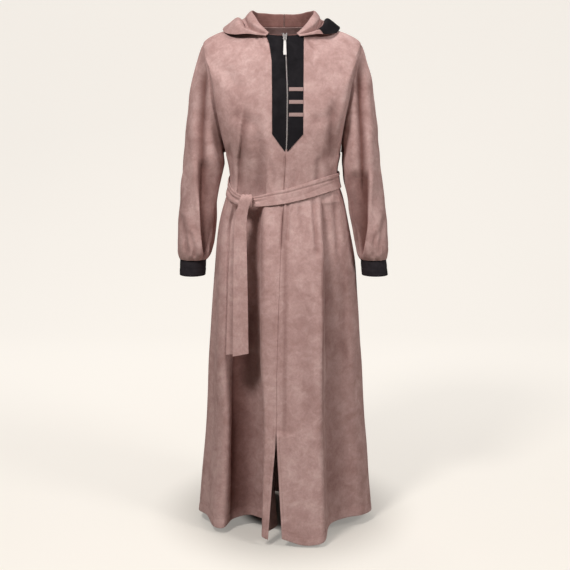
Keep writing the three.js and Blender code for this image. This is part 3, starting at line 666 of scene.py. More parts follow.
def weave_group() -> bpy.types.NodeTree:
    """A fine twill that follows the cloth's own map."""
    group = bpy.data.node_groups.new("fine_twill", "ShaderNodeTree")
    t = Tree(group)
    t.socket("Yarn", "NodeSocketFloat", value=0.0012)
    t.socket("Height", "NodeSocketFloat", output=True)
    inside = t.add("NodeGroupInput")
    outside = t.add("NodeGroupOutput")
    place = t.add("ShaderNodeUVMap", uv_map="cloth")
    scale = t.add("ShaderNodeMath", operation="DIVIDE")
    scale.inputs[0].default_value = 1.0
    t.link(inside.outputs["Yarn"], scale.inputs[1])
    bands = []
    for way, turn in (("DIAGONAL", 0.0), ("X", 0.0)):
        wave = t.add("ShaderNodeTexWave", wave_type="BANDS", bands_direction=way)
        wave.inputs["Distortion"].default_value = 1.2 + turn
        wave.inputs["Detail"].default_value = 1.0
        wave.inputs["Detail Scale"].default_value = 2.0
        t.link(place.outputs["UV"], wave.inputs["Vector"])
        t.link(scale.outputs[0], wave.inputs["Scale"])
        bands.append(wave)
    both = t.add("ShaderNodeMix", data_type="FLOAT")
    both.inputs["Factor"].default_value = 0.35
    t.link(bands[0].outputs["Fac"], both.inputs[2])
    t.link(bands[1].outputs["Fac"], both.inputs[3])
    t.link(both.outputs[0], outside.inputs["Height"])
    return group


def wear_group() -> bpy.types.NodeTree:
    """Fine rubbing on metal: a mask of small marks and smears."""
    group = bpy.data.node_groups.new("fine_rubbing", "ShaderNodeTree")
    t = Tree(group)
    t.socket("Mark", "NodeSocketFloat", value=0.002)
    t.socket("Mask", "NodeSocketFloat", output=True)
    inside = t.add("NodeGroupInput")
    outside = t.add("NodeGroupOutput")
    place = t.add("ShaderNodeTexCoord")
    scale = t.add("ShaderNodeMath", operation="DIVIDE")
    scale.inputs[0].default_value = 1.0
    t.link(inside.outputs["Mark"], scale.inputs[1])
    noise = t.add("ShaderNodeTexNoise")
    noise.inputs["Detail"].default_value = 5.0
    t.link(place.outputs["Object"], noise.inputs["Vector"])
    t.link(scale.outputs[0], noise.inputs["Scale"])
    t.link(noise.outputs["Fac"], outside.inputs["Mask"])
    return group


@dataclass(frozen=True)
class SuedeFinish:
    """A napped cloth in three shades.

    Attributes:
        name: The material's name.
        light: Where the nap stands to the light.
        middle: Its usual shade.
        dark: Where the nap is brushed the other way.
        patch: The size of the patches in metres.
        blotch: The size of the larger changes in metres.
        sheen: How much the nap glows at a grazing view.
        bump: How deep the nap is, in metres.
        painted_shade_colour: What is left of the colour where shade is painted into it.
    """

    name: str
    light: tuple[float, float, float, float]
    middle: tuple[float, float, float, float]
    dark: tuple[float, float, float, float]
    patch: float = 0.03
    blotch: float = 0.11
    sheen: float = 0.3
    bump: float = 0.0004
    painted_shade_colour: tuple[float, float, float, float] = (0.35, 0.25, 0.23, 1.0)

    def make(self, patches: bpy.types.NodeTree, nap: bpy.types.NodeTree) -> bpy.types.Material:
        """Builds the material.

        Args:
            patches: The shared group of soft patches.
            nap: The shared group of short fibres.

        Returns:
            The material.
        """
        material = bpy.data.materials.new(self.name)
        material.use_nodes = True
        shader = material.node_tree.nodes["Principled BSDF"]
        t = Tree(material.node_tree)
        tone = t.add("ShaderNodeGroup", node_tree=patches)
        tone.inputs["Patch"].default_value = self.patch
        tone.inputs["Blotch"].default_value = self.blotch
        tone.inputs["Light"].default_value = self.light
        tone.inputs["Middle"].default_value = self.middle
        tone.inputs["Dark"].default_value = self.dark
        fibre = t.add("ShaderNodeGroup", node_tree=nap)
        fleck = t.add("ShaderNodeMapRange")
        fleck.inputs["From Min"].default_value = 0.3
        fleck.inputs["From Max"].default_value = 0.7
        fleck.inputs["To Min"].default_value = 0.82
        fleck.inputs["To Max"].default_value = 1.12
        t.link(fibre.outputs["Height"], fleck.inputs["Value"])
        # Painted shade: the colour is multiplied darker where the mesh carries painted shade in
        # creases, seams and other shaded places.
        painted_shade = t.add("ShaderNodeAttribute", attribute_name="painted_shade")
        pressed = t.add("ShaderNodeMix", data_type="RGBA", blend_type="MULTIPLY")
        pressed.inputs[7].default_value = self.painted_shade_colour
        t.link(painted_shade.outputs["Fac"], pressed.inputs["Factor"])
        t.link(tone.outputs["Colour"], pressed.inputs[6])
        shade = t.add("ShaderNodeMix", data_type="RGBA", blend_type="MULTIPLY")
        shade.inputs["Factor"].default_value = 1.0
        t.link(pressed.outputs[2], shade.inputs[6])
        t.link(fleck.outputs[0], shade.inputs[7])
        t.link(shade.outputs[2], shader.inputs["Base Color"])
        rough = t.add("ShaderNodeMapRange")
        rough.inputs["To Min"].default_value = 0.95
        rough.inputs["To Max"].default_value = 0.8
        t.link(tone.outputs["Mask"], rough.inputs["Value"])
        t.link(rough.outputs[0], shader.inputs["Roughness"])
        bump = t.add("ShaderNodeBump")
        bump.inputs["Strength"].default_value = 0.6
        bump.inputs["Distance"].default_value = self.bump
        t.link(fibre.outputs["Height"], bump.inputs["Height"])
        t.link(bump.outputs["Normal"], shader.inputs["Normal"])
        shader.inputs["Specular IOR Level"].default_value = 0.2
        shader.inputs["Sheen Weight"].default_value = self.sheen
        shader.inputs["Sheen Roughness"].default_value = 0.45
        shader.inputs["Sheen Tint"].default_value = self.light
        return material


@dataclass(frozen=True)
class TwillFinish:
    """A woven tape or thread of one shade.

    Attributes:
        name: The material's name.
        base: Its shade.
        deep: The shade between its yarns.
        yarn: How wide a yarn is, in metres.
        rough: Its roughness.
    """

    name: str
    base: tuple[float, float, float, float]
    deep: tuple[float, float, float, float]
    yarn: float = 0.0011
    rough: float = 0.75

    def make(self, weave: bpy.types.NodeTree, nap: bpy.types.NodeTree) -> bpy.types.Material:
        """Builds the material from the shared twill and nap groups."""
        material = bpy.data.materials.new(self.name)
        material.use_nodes = True
        shader = material.node_tree.nodes["Principled BSDF"]
        t = Tree(material.node_tree)
        twill = t.add("ShaderNodeGroup", node_tree=weave)
        twill.inputs["Yarn"].default_value = self.yarn
        fibre = t.add("ShaderNodeGroup", node_tree=nap)
        fibre.inputs["Fibre"].default_value = 0.0006
        both = t.add("ShaderNodeMix", data_type="FLOAT")
        both.inputs["Factor"].default_value = 0.35
        t.link(twill.outputs["Height"], both.inputs[2])
        t.link(fibre.outputs["Height"], both.inputs[3])
        shade = t.add("ShaderNodeMix", data_type="RGBA")
        shade.inputs[6].default_value = self.deep
        shade.inputs[7].default_value = self.base
        t.link(both.outputs[0], shade.inputs["Factor"])
        t.link(shade.outputs[2], shader.inputs["Base Color"])
        bump = t.add("ShaderNodeBump")
        bump.inputs["Strength"].default_value = 0.5
        bump.inputs["Distance"].default_value = 0.0003
        t.link(both.outputs[0], bump.inputs["Height"])
        t.link(bump.outputs["Normal"], shader.inputs["Normal"])
        shader.inputs["Roughness"].default_value = self.rough
        shader.inputs["Specular IOR Level"].default_value = 0.3
        return material


@dataclass(frozen=True)
class MetalFinish:
    """A polished, slightly rubbed metal."""

    name: str
    base: tuple[float, float, float, float]
    dull: float = 0.38
    bright: float = 0.2

    def make(self, wear: bpy.types.NodeTree) -> bpy.types.Material:
        """Builds the material from the shared group of rubbing."""
        material = bpy.data.materials.new(self.name)
        material.use_nodes = True
        shader = material.node_tree.nodes["Principled BSDF"]
        t = Tree(material.node_tree)
        marks = t.add("ShaderNodeGroup", node_tree=wear)
        rough = t.add("ShaderNodeMapRange")
        rough.inputs["From Min"].default_value = 0.35
        rough.inputs["From Max"].default_value = 0.65
        rough.inputs["To Min"].default_value = self.bright
        rough.inputs["To Max"].default_value = self.dull
        t.link(marks.outputs["Mask"], rough.inputs["Value"])
        t.link(rough.outputs[0], shader.inputs["Roughness"])
        shade = t.add("ShaderNodeMix", data_type="RGBA")
        shade.inputs[6].default_value = self.base
        shade.inputs[7].default_value = tuple(0.8 * c for c in self.base[:3]) + (1.0,)
        t.link(marks.outputs["Mask"], shade.inputs["Factor"])
        t.link(shade.outputs[2], shader.inputs["Base Color"])
        shader.inputs["Metallic"].default_value = 1.0
        return material


class Finishes:
    """All finishes of the garment, made once."""

    def __init__(self) -> None:
        """Builds the shared groups and the materials."""
        patches, nap = patches_group(), nap_group()
        weave, wear = weave_group(), wear_group()
        self.rose = SuedeFinish(
            "rose_suede",
            light=colour(201, 169, 164),
            middle=colour(185, 151, 146),
            dark=colour(168, 133, 128),
            patch=0.03,
            blotch=0.11,
            sheen=0.15,
        ).make(patches, nap)
        self.black = SuedeFinish(
            "black_cloth",
            light=colour(28, 25, 28),
            middle=colour(22, 19, 23),
            dark=colour(17, 15, 18),
            sheen=0.1,
        ).make(patches, nap)
        self.cuff = SuedeFinish(
            "cuff_cloth",
            light=colour(54, 48, 51),
            middle=colour(44, 39, 43),
            dark=colour(35, 31, 35),
            sheen=0.1,
        ).make(patches, nap)
        self.stripe = TwillFinish(
            "stripe_tape", base=colour(178, 152, 147), deep=colour(140, 112, 108)
        ).make(weave, nap)
        self.tape = TwillFinish(
            "zip_tape", base=colour(58, 50, 52), deep=colour(30, 26, 28), yarn=0.0008
        ).make(weave, nap)
        self.rose_thread = TwillFinish(
            "rose_thread", base=colour(172, 134, 126), deep=colour(142, 104, 96), rough=0.6
        ).make(weave, nap)
        self.black_thread = TwillFinish(
            "black_thread", base=colour(52, 47, 50), deep=colour(28, 25, 27), rough=0.55
        ).make(weave, nap)
        self.silver = MetalFinish(
            "silver_metal", base=colour(200, 196, 193), dull=0.5, bright=0.42
        ).make(wear)
        self.teeth = MetalFinish(
            "teeth_metal", base=colour(232, 224, 222), dull=0.55, bright=0.4
        ).make(wear)
        self.slider = MetalFinish(
            "slider_metal", base=colour(128, 123, 122), dull=0.5, bright=0.3
        ).make(wear)


# ------------------------------------------------------------------ the body's form
LEVELS = Table(
    "edgeZ frontZ backZ left right front back armFront armBack slitLeft slitRight",
    [
        (4, -21, 3, -84, 78, -76, 74, 0, 0, 2, 2),
        (-3, -58, -28, -128, 119, -90, 96, 0, 0, 4, 4),
        (-15, -100, -72, -181, 168, -103, 110, 0, 0, 6, 6),
        (-43, -146, -118, -222, 211, -112, 117, 0, 0, 8, 8),
        (-88, -182, -160, -211, 201, -118, 120, -40, 42, 8, 8),
        (-137, -215, -200, -201, 190, -122, 121, -56, 58, 8, 8),
        (-190, -250, -240, -192, 180, -124, 120, -62, 64, 8, 8),
        (-243, -284, -278, -182, 168, -124, 117, -57, 59, 7, 7),
        (-298, -320, -316, -171, 160, -122, 112, -38, 42, 6, 6),
        (-345, -355, -353, -161, 157, -119, 106, 0, 0, 4, 4),
        (-385, -390, -388, -153, 150, -115, 100, 0, 0, 2, 2),
        (-425, -430, -428, -151, 152, -113, 98, 0, 0, 0, 0),
        (-470, -475, -472, -163, 167, -118, 105, 0, 0, -1, -1),
        (-540, -545, -542, -182, 181, -131, 122, 0, 0, -6, -6),
        (-650, -655, -652, -195, 201, -150, 148, 0, 0, -11, -11),
        (-790, -795, -792, -206, 211, -168, 168, 0, 0, -16, -16),
        (-940, -945, -942, -216, 222, -183, 185, 0, 0, -20, -20),
        (-1085, -1088, -1086, -222, 231, -197, 198, 0, 0, -21, -21),
        (-1235, -1236, -1235, -235, 243, -212, 208, 0, 0, -33, -14),
        (-1380, -1380, -1380, -249, 255, -228, 216, 0, 0, -44, -6),
    ],
)
SHOULDER, ARMHOLE_LOW, UNDERARM, UNDER_BELT, HIP, SLIT_TOP, HEM = 3, 7, 9, 12, 13, 17, 19

FOLD_HEADING = "chest belt hem beltDepth hemDepth hemRise hemAside"
LEFT_FOLDS = Table(
    FOLD_HEADING,
    [
        (0, 0, 0, 0, 0, -7, 0),
        (0.17, 0.33, 0.083, 0, 0, 3, 0),
        (0.28, 0.36, 0.1, 12, 100, 2, 44),
        (0.36, 0.42, 0.145, 22, 142, 7, 0),
        (0.5, 0.6, 0.275, 30, 154, 8, 0),
        (0.66, 0.8, 0.498, 18, 112, 5, 0),
        (0.8, 0.87, 0.624, 2, 56, -7, 0),
        (0.91, 0.94, 0.745, 0, 44, -8, 0),
        (0.96, 0.98, 0.86, 0, 66, 6, 0),
    ],
)
RIGHT_FOLDS = Table(
    FOLD_HEADING,
    [
        (0, 0, 0, 0, -6, -2, 0),
        (0.22, 0.35, 0.241, 0, -18, -18, 0),
        (0.42, 0.566, 0.433, 0, -24, -12, 0),
        (0.58, 0.63, 0.52, 6, 62, 7, 0),
        (0.74, 0.76, 0.705, 3, 82, 9, 0),
        (0.89, 0.895, 0.881, 0, 64, 5, 0),
    ],
)
BACK_FOLDS = Table(
    FOLD_HEADING,
    [
        (-0.88, -0.88, -0.88, 3, 20, -6, 0),
        (-0.67, -0.67, -0.68, 0, -12, -13, 0),
        (-0.44, -0.42, -0.45, 9, 38, -8, 0),
        (-0.2, -0.2, -0.21, 0, -10, -18, 0),
        (0.04, 0.03, 0.05, 7, 30, -12, 0),
        (0.27, 0.26, 0.3, 0, -14, -18, 0),
        (0.5, 0.48, 0.52, 10, 40, -8, 0),
        (0.71, 0.7, 0.72, 0, -8, -12, 0),
        (0.9, 0.9, 0.9, 3, 18, -6, 0),
    ],
)


def in_armhole(position: float) -> bool:
    """Whether a level has its edge on the armhole."""
    return SHOULDER < position < UNDERARM


@dataclass
class BodyForm:
    """The worn form of the body, on which every other piece is placed.

    Attributes:
        roundness: The superellipse power of a section.
        ridge: How softly the cloth rolls over the shoulder.
        seam: The space between two pieces at a seam.
        left_steps: Columns between two fold lines of the left front.
        right_steps: Columns between two fold lines of the right front.
        back_steps: Columns between two fold lines of the back.
    """

    roundness: float = 2.3
    ridge: float = 1.3
    seam: float = 0.3
    left_steps: int = 9
    right_steps: int = 14
    back_steps: int = 9
    creases: list[Crease] = field(default_factory=list)

    def __post_init__(self) -> None:
        """Builds the three panels' faces."""
        stretches = (
            (0, SHOULDER, 48),
            (SHOULDER, UNDERARM, 96),
            (UNDERARM, HIP, 64),
            (HIP, HEM, 120),
        )
        places = [np.linspace(a, b, n, endpoint=False) for a, b, n in stretches]
        self.positions = np.concatenate([*places, [HEM]])
        rings = [self.section(float(p)) for p in self.positions]
        self.grid = {name: np.array([ring[name] for ring in rings]) for name in rings[0]}
        self.normal = {name: grid_normals(grid) for name, grid in self.grid.items()}
        open_arm = (self.positions > SHOULDER) & (self.positions < UNDERARM)
        self.arm_rows = np.flatnonzero(
            (self.positions >= SHOULDER) & (self.positions <= UNDERARM)
        )
        self.plain = {name: grid.copy() for name, grid in self.grid.items()}
        self.join("left", -1, "back", 0, ~open_arm)
        self.join("back", -1, "right", 0, ~open_arm)
        self.join("right", -1, "left", 0, self.positions <= SLIT_TOP)

    def section_depth(self, share: float) -> float:
        """Depth of a plain section at a share of the way out to its edge."""
        return (1 - min(abs(share), 1.0) ** self.roundness) ** (1 / self.roundness)

    def level_at(self, position: float) -> dict[str, float]:
        """The body's sizes at a fractional level."""
        level = LEVELS.at(position)
        if not in_armhole(position):
            level["armFront"] = level["armBack"] = 0.0
        if position <= SLIT_TOP:
            level["slitRight"] = level["slitLeft"]
        return level

    def body_point(
        self,
        level: dict[str, float],
        front: bool,
        share: float,
        leftward: bool,
        move: tuple[float, float, float] = (0.0, 0.0, 0.0),
    ) -> Grid:
        """One point of the body.

        Args:
            level: The sizes at its level.
            front: Whether it is on the front half.
            share: Its place from the centre to an edge, below nought to the left.
            leftward: Whether it belongs to the left of the front's middle.
            move: How far it is moved inward, up and aside.

        Returns:
            The point in millimetres.
        """
        if front:
            middle = level["slitLeft"] if leftward else level["slitRight"]
        else:
            middle = (level["left"] + level["right"]) / 2
        edge = level["left"] if share < 0 else level["right"]
        armhole = level["armFront"] if front else level["armBack"]
        depth = self.section_depth(share)
        inward, rise, aside = move
        return np.array([
            mix(middle, edge, abs(share)) + aside,
            mix(armhole, level["front"] if front else level["back"], depth)
            + (inward if front else -inward),
            mix(level["edgeZ"], level["frontZ"] if front else level["backZ"], depth**self.ridge)
            + rise,
        ])

    def fold_points(
        self, folds: Table, front: bool, side: int, position: float, level: dict[str, float]
    ) -> list[Grid]:
        """Where the fold lines of a panel pass a level."""
        points = []
        for row in folds.values:
            fold = dict(zip(folds.names, row.tolist()))
            if position < UNDER_BELT:
                near = clamp((position - ARMHOLE_LOW) / (UNDER_BELT - ARMHOLE_LOW), 0, 1)
                share = mix(fold["chest"], fold["belt"], near)
                move = (fold["beltDepth"] * near**2, 0.0, 0.0)
            else:
                top, low = LEVELS.column("edgeZ")[[UNDER_BELT, HEM]]
                drop = clamp((top - level["edgeZ"]) / (top - low), 0, 1)
                share = mix(fold["belt"], fold["hem"], drop)
                depth = mix(fold["beltDepth"], fold["hemDepth"], drop**0.6)
                move = (depth, fold["hemRise"] * drop**4, fold["hemAside"] * drop**2)
            points.append(self.body_point(level, front, share * side, side < 0, move))
        return points

    def section(self, position: float) -> dict[str, Grid]:
        """One section of the body.

        Args:
            position: Its fractional level.

        Returns:
            The points of the left front, the back and the right front, in that turn.
        """
        level = self.level_at(position)
        left = self.fold_points(LEFT_FOLDS, True, -1, position, level)
        right = self.fold_points(RIGHT_FOLDS, True, 1, position, level)[::-1]
        back = self.fold_points(BACK_FOLDS, False, 1, position, level)
        edge = {
            (front, side): self.body_point(level, front, side, side < 0)
            for front in (True, False)
            for side in (-1, 1)
        }
        left_spans = [self.left_steps] * len(left)
        back_spans = [self.back_steps] * (len(back) + 1)
        right_spans = [self.right_steps] * len(right)
        if in_armhole(position):
            front = through(
                [edge[True, 1], *right[:-1], *left, edge[True, -1]], False,
                right_spans + left_spans,
            )
            turn = len(right) * self.right_steps
            rear = through([edge[False, -1], *back, edge[False, 1]], False, back_spans)
            return {"left": front[turn:], "back": rear, "right": front[: turn + 1]}
        slit = position > SLIT_TOP
        stops = [*left, edge[True, -1], *back, edge[True, 1], *(right if slit else right[:-1])]
        ring = through(stops, not slit, left_spans + back_spans + right_spans)
        if not slit:
            ring = np.concatenate([ring, ring[:1]])
        left_end = len(left) * self.left_steps
        right_start = left_end + (len(back) + 1) * self.back_steps
        return {
            "left": ring[: left_end + 1],
            "back": ring[left_end : right_start + 1],
            "right": ring[right_start:],
        }

    def join(self, panel: str, column: int, other: str, start: int, sewn: Grid) -> None:
        """Gives both sides of a seam one normal and draws them half a seam apart."""
        shared = unit(self.normal[panel][:, column] + self.normal[other][:, start])
        run = np.gradient(self.grid[panel][:, column], axis=0)
        aside = unit(np.cross(shared, run)) * self.seam / 2
        for name, place, way in ((panel, column, 1), (other, start, -1)):
            self.normal[name][sewn, place] = shared[sewn]
            self.grid[name][sewn, place] += way * aside[sewn]

    def at(self, position: float, angle: float) -> tuple[Grid, Grid]:
        """The plain body, without folds.

        Args:
            position: The fractional level.
            angle: Degrees from the front, to the right.

        Returns:
            The point and its outward normal.
        """

        def plain(level: dict[str, float], turn: float) -> Grid:
            """The plain point of a level at an angle."""
            sine = math.sin(math.radians(turn))
            share = math.copysign(abs(sine) ** (2 / self.roundness), sine) if sine else 0.0
            return self.body_point(level, math.cos(math.radians(turn)) >= 0, share, share < 0)

        level, below = self.level_at(position), self.level_at(position + 0.02)
        point = plain(level, angle)
        around = plain(level, angle - 1) - plain(level, angle + 1)
        return point, unit(np.cross(around, plain(below, angle) - point))

    def level_of(self, z: float) -> float:
        """The fractional level of the side seam at a height."""
        heights = LEVELS.column("edgeZ")
        below = int(np.flatnonzero(heights < z)[0])
        return below - 1 + (heights[below - 1] - z) / (heights[below - 1] - heights[below])


# ------------------------------------------------------------------ what the cloth is marked with
# Each crease also darkens the colour along its groove with painted shade, by its depth unless it
# gives its own.
BODICE_CREASES = [
    Crease(
        ((-106, -200), (-116, -280), (-126, -360), (-130, -480)),
        15, 7.0, 3.0, 1, fade=0.25, lap=True, painted_shade=0.62,
    ),
    Crease(((-74, -250), (-67, -330), (-64, -482)), 14, 5.4, 2.0, 0, painted_shade=0.3),
    Crease(((133, -180), (133, -262), (126, -372)), 14, 7.0, 2.0, 0),
    Crease(((-78, -22), (-68, -38), (-58, -62)), 4, 2.6, 1.2, 0),
    Crease(((-64, -22), (-56, -44), (-50, -74)), 3.5, 1.8, 0.9, 0),
    Crease(((58, -28), (72, -44), (88, -68)), 4.5, 2.4, 1.1, 0),
    Crease(((-160, -96), (-140, -140), (-112, -170)), 14, 1.8, 1.0, 0),
    Crease(((-150, -225), (-95, -250), (-52, -262)), 17, 2.6, 1.4, 1),
    Crease(((150, -222), (112, -240), (62, -252)), 16, 2.4, 1.2, -1),
    Crease(((-38, -350), (-30, -398), (-24, -436)), 6.5, 2.2, 1.0, 0),
    Crease(((1, -338), (0, -390), (-3, -476)), 3.6, 3.4, 1.1, 0, fade=0.1),
    Crease(((34, -372), (30, -404), (22, -436)), 6, 2.0, 1.0, 0),
    Crease(((96, -340), (92, -388), (88, -428)), 8, 3.0, 1.3, 0),
    Crease(((-150, -300), (-144, -366), (-142, -440)), 6, 2.4, 1.1, 0),
    Crease(((132, -372), (128, -400), (126, -424)), 5, 2.2, 1.0, 0),
]
# The first four lines are mostly painted shade: shallow grooves with darkness painted into the
# colour, down the middle, in the recess by the flap and down the right side.
SKIRT_CREASES = [
    Crease(((4, -476), (3, -700), (2, -1000), (1, -1130)), 6, 0.5, fade=0.1, painted_shade=0.42),
    Crease(((-72, -462), (-78, -560), (-84, -980)), 20, 2.0, fade=0.08, painted_shade=0.36),
    Crease(
        ((-143, -740), (-148, -1000), (-151, -1150), (-154, -1400)),
        74, 0.6, 2.4, 1, fade=0.1, lap=True, painted_shade=1.0,
    ),
    Crease(
        ((100, -600), (103, -900), (107, -1130), (116, -1400)),
        90, 0.5, 0.6, 1, fade=0.1, lap=True, painted_shade=0.46,
    ),
    Crease(((-5, -468), (-4, -510), (-9, -600)), 4.2, 5.4, 1.6, 0, fade=0.12),
    Crease(((8, -466), (10, -510), (9, -580)), 4.2, 4.2, 1.4, 0, fade=0.12),
    Crease(((79, -452), (84, -520), (92, -620)), 6, 5.0, 1.8, 0, fade=0.15),
    Crease(
        ((100, -446), (106, -520), (112, -720), (114, -900)),
        9, 4.4, 1.8, 1, fade=0.12, lap=True,
    ),
    Crease(((-62, -500), (-62, -640), (-58, -800)), 6, 2.0, 1.0, 0),
    Crease(((40, -462), (44, -500), (48, -560)), 6, 2.6, 1.4, 0),
    Crease(((138, -446), (146, -540), (152, -640)), 7, 3.4, 1.5, 0),
    Crease(((160, -560), (172, -760), (182, -980)), 14, 3.4, 1.5, 0),
    Crease(((60, -700), (66, -900), (70, -1100)), 20, 2.6, 1.0, 0),
    Crease(((-150, -470), (-164, -640), (-172, -860)), 8, 3.4, 1.5, 0, painted_shade=0.06),
    Crease(((-188, -600), (-196, -800), (-204, -1000)), 14, 2.8, 1.3, 0, painted_shade=0),
    Crease(((-184, -960), (-190, -1150), (-196, -1330)), 16, 2.8, 1.2, 0, painted_shade=0),
]
BACK_CREASES = [
    Crease(((-118, -230), (-122, -330), (-104, -424)), 8, 4.6, 1.8, 0, Facing.BACK),
    Crease(((96, -216), (108, -320), (100, -420)), 9, 4.6, 1.8, 0, Facing.BACK),
    Crease(((-40, -290), (-36, -370), (-30, -426)), 7, 3.2, 1.4, 0, Facing.BACK),
    Crease(((36, -320), (33, -380), (24, -426)), 6, 3.0, 1.3, 0, Facing.BACK),
    Crease(((-78, -446), (-86, -560), (-98, -720)), 6, 4.2, 1.8, 0, Facing.BACK, 0.15),
    Crease(((-16, -446), (-12, -540), (-14, -660)), 5, 3.8, 1.6, 0, Facing.BACK, 0.15),
    Crease(((54, -446), (62, -560), (66, -740)), 6, 4.2, 1.8, 0, Facing.BACK, 0.15),
    Crease(((112, -446), (122, -540), (136, -660)), 6, 3.6, 1.6, 0, Facing.BACK, 0.15),
    Crease(((-150, -190), (-90, -214), (-40, -222)), 16, 2.6, 1.4, 0, Facing.BACK),
    Crease(((142, -196), (96, -216), (48, -226)), 15, 2.6, 1.4, 0, Facing.BACK),
    Crease(((-132, -90), (-112, -130), (-84, -158)), 12, 2.2, 1.2, 0, Facing.BACK),
    Crease(((128, -96), (106, -138), (80, -160)), 12, 2.2, 1.2, 0, Facing.BACK),
]
SLEEVE_CREASES = [
    Crease(((-215, -66), (-222, -150), (-226, -270), (-226, -490)), 14, 11.0, 2.8, 0, fade=0.2),
    Crease(
        ((-236, -350), (-233, -439), (-229, -540), (-225, -607), (-223, -640)),
        38, 15.0, 3.2, 1, fade=0.12, lap=True,
    ),
    Crease(((-262, -250), (-270, -400), (-272, -500)), 16, 2.2, 1.0, 0, painted_shade=0),
    Crease(((-290, -500), (-274, -560), (-262, -626)), 8, 3.0, 1.5, 0, fade=0.15),
    Crease(((-262, -548), (-250, -594), (-246, -634)), 6, 3.0, 1.4, 0, fade=0.15),
    Crease(((208, -66), (211, -180), (212, -300), (217, -500)), 12, 12.0, 2.8, 0, fade=0.2),
    Crease(
        ((231, -380), (232, -440), (229, -540), (220, -607), (214, -640)),
        46, 12.0, 3.2, -1, fade=0.12, lap=True,
    ),
    Crease(((256, -240), (266, -400), (266, -500)), 16, 2.2, 1.0, 0, painted_shade=0),
    Crease(((284, -500), (270, -556), (260, -626)), 8, 3.0, 1.5, 0, fade=0.15),
    Crease(((258, -548), (248, -592), (244, -634)), 6, 3.0, 1.4, 0, fade=0.15),
    Crease(((-196, -380), (-206, -450), (-214, -560)), 9, 3.0, 1.4, 0),
    Crease(((192, -370), (200, -440), (208, -550)), 9, 3.0, 1.4, 0),
    Crease(((-228, -180), (-240, -330), (-246, -480)), 11, 5.0, 2.0, 0, Facing.BACK),
    Crease(((222, -170), (236, -330), (240, -490)), 11, 5.0, 2.0, 0, Facing.BACK),
    Crease(((-262, -420), (-258, -520), (-246, -600)), 8, 3.6, 1.6, 0, Facing.BACK),
    Crease(((262, -410), (256, -520), (242, -604)), 8, 3.6, 1.6, 0, Facing.BACK),
    Crease(((-20, -240), (-8, -380), (4, -520)), 10, 3.0, 1.4, 0, Facing.LEFT),
    Crease(((-34, -470), (-26, -540), (-20, -620)), 7, 3.0, 1.4, 0, Facing.LEFT),
    Crease(((26, -500), (22, -560), (14, -622)), 6, 2.6, 1.2, 0, Facing.LEFT),
    Crease(((-14, -250), (-4, -380), (2, -510)), 10, 3.0, 1.4, 0, Facing.RIGHT),
    Crease(((-30, -480), (-24, -540), (-18, -620)), 7, 3.0, 1.4, 0, Facing.RIGHT),
    Crease(((24, -506), (20, -564), (12, -624)), 6, 2.6, 1.2, 0, Facing.RIGHT),
]


# The painted shade on the top edge of the fronts under the placket, in millimetres: half its width,
# how far forward it lies, its foot and the height over which it fades in.
UNDER_HALF, UNDER_FRONT, UNDER_FOOT, UNDER_FADE = 44, -50, -44, 6
# Shade painted into the colour for each millimetre that the armhole seam pulls in a panel or a
# sleeve.
PANEL_DIP_PAINTED_SHADE, SLEEVE_DIP_PAINTED_SHADE = 0.5, 0.13


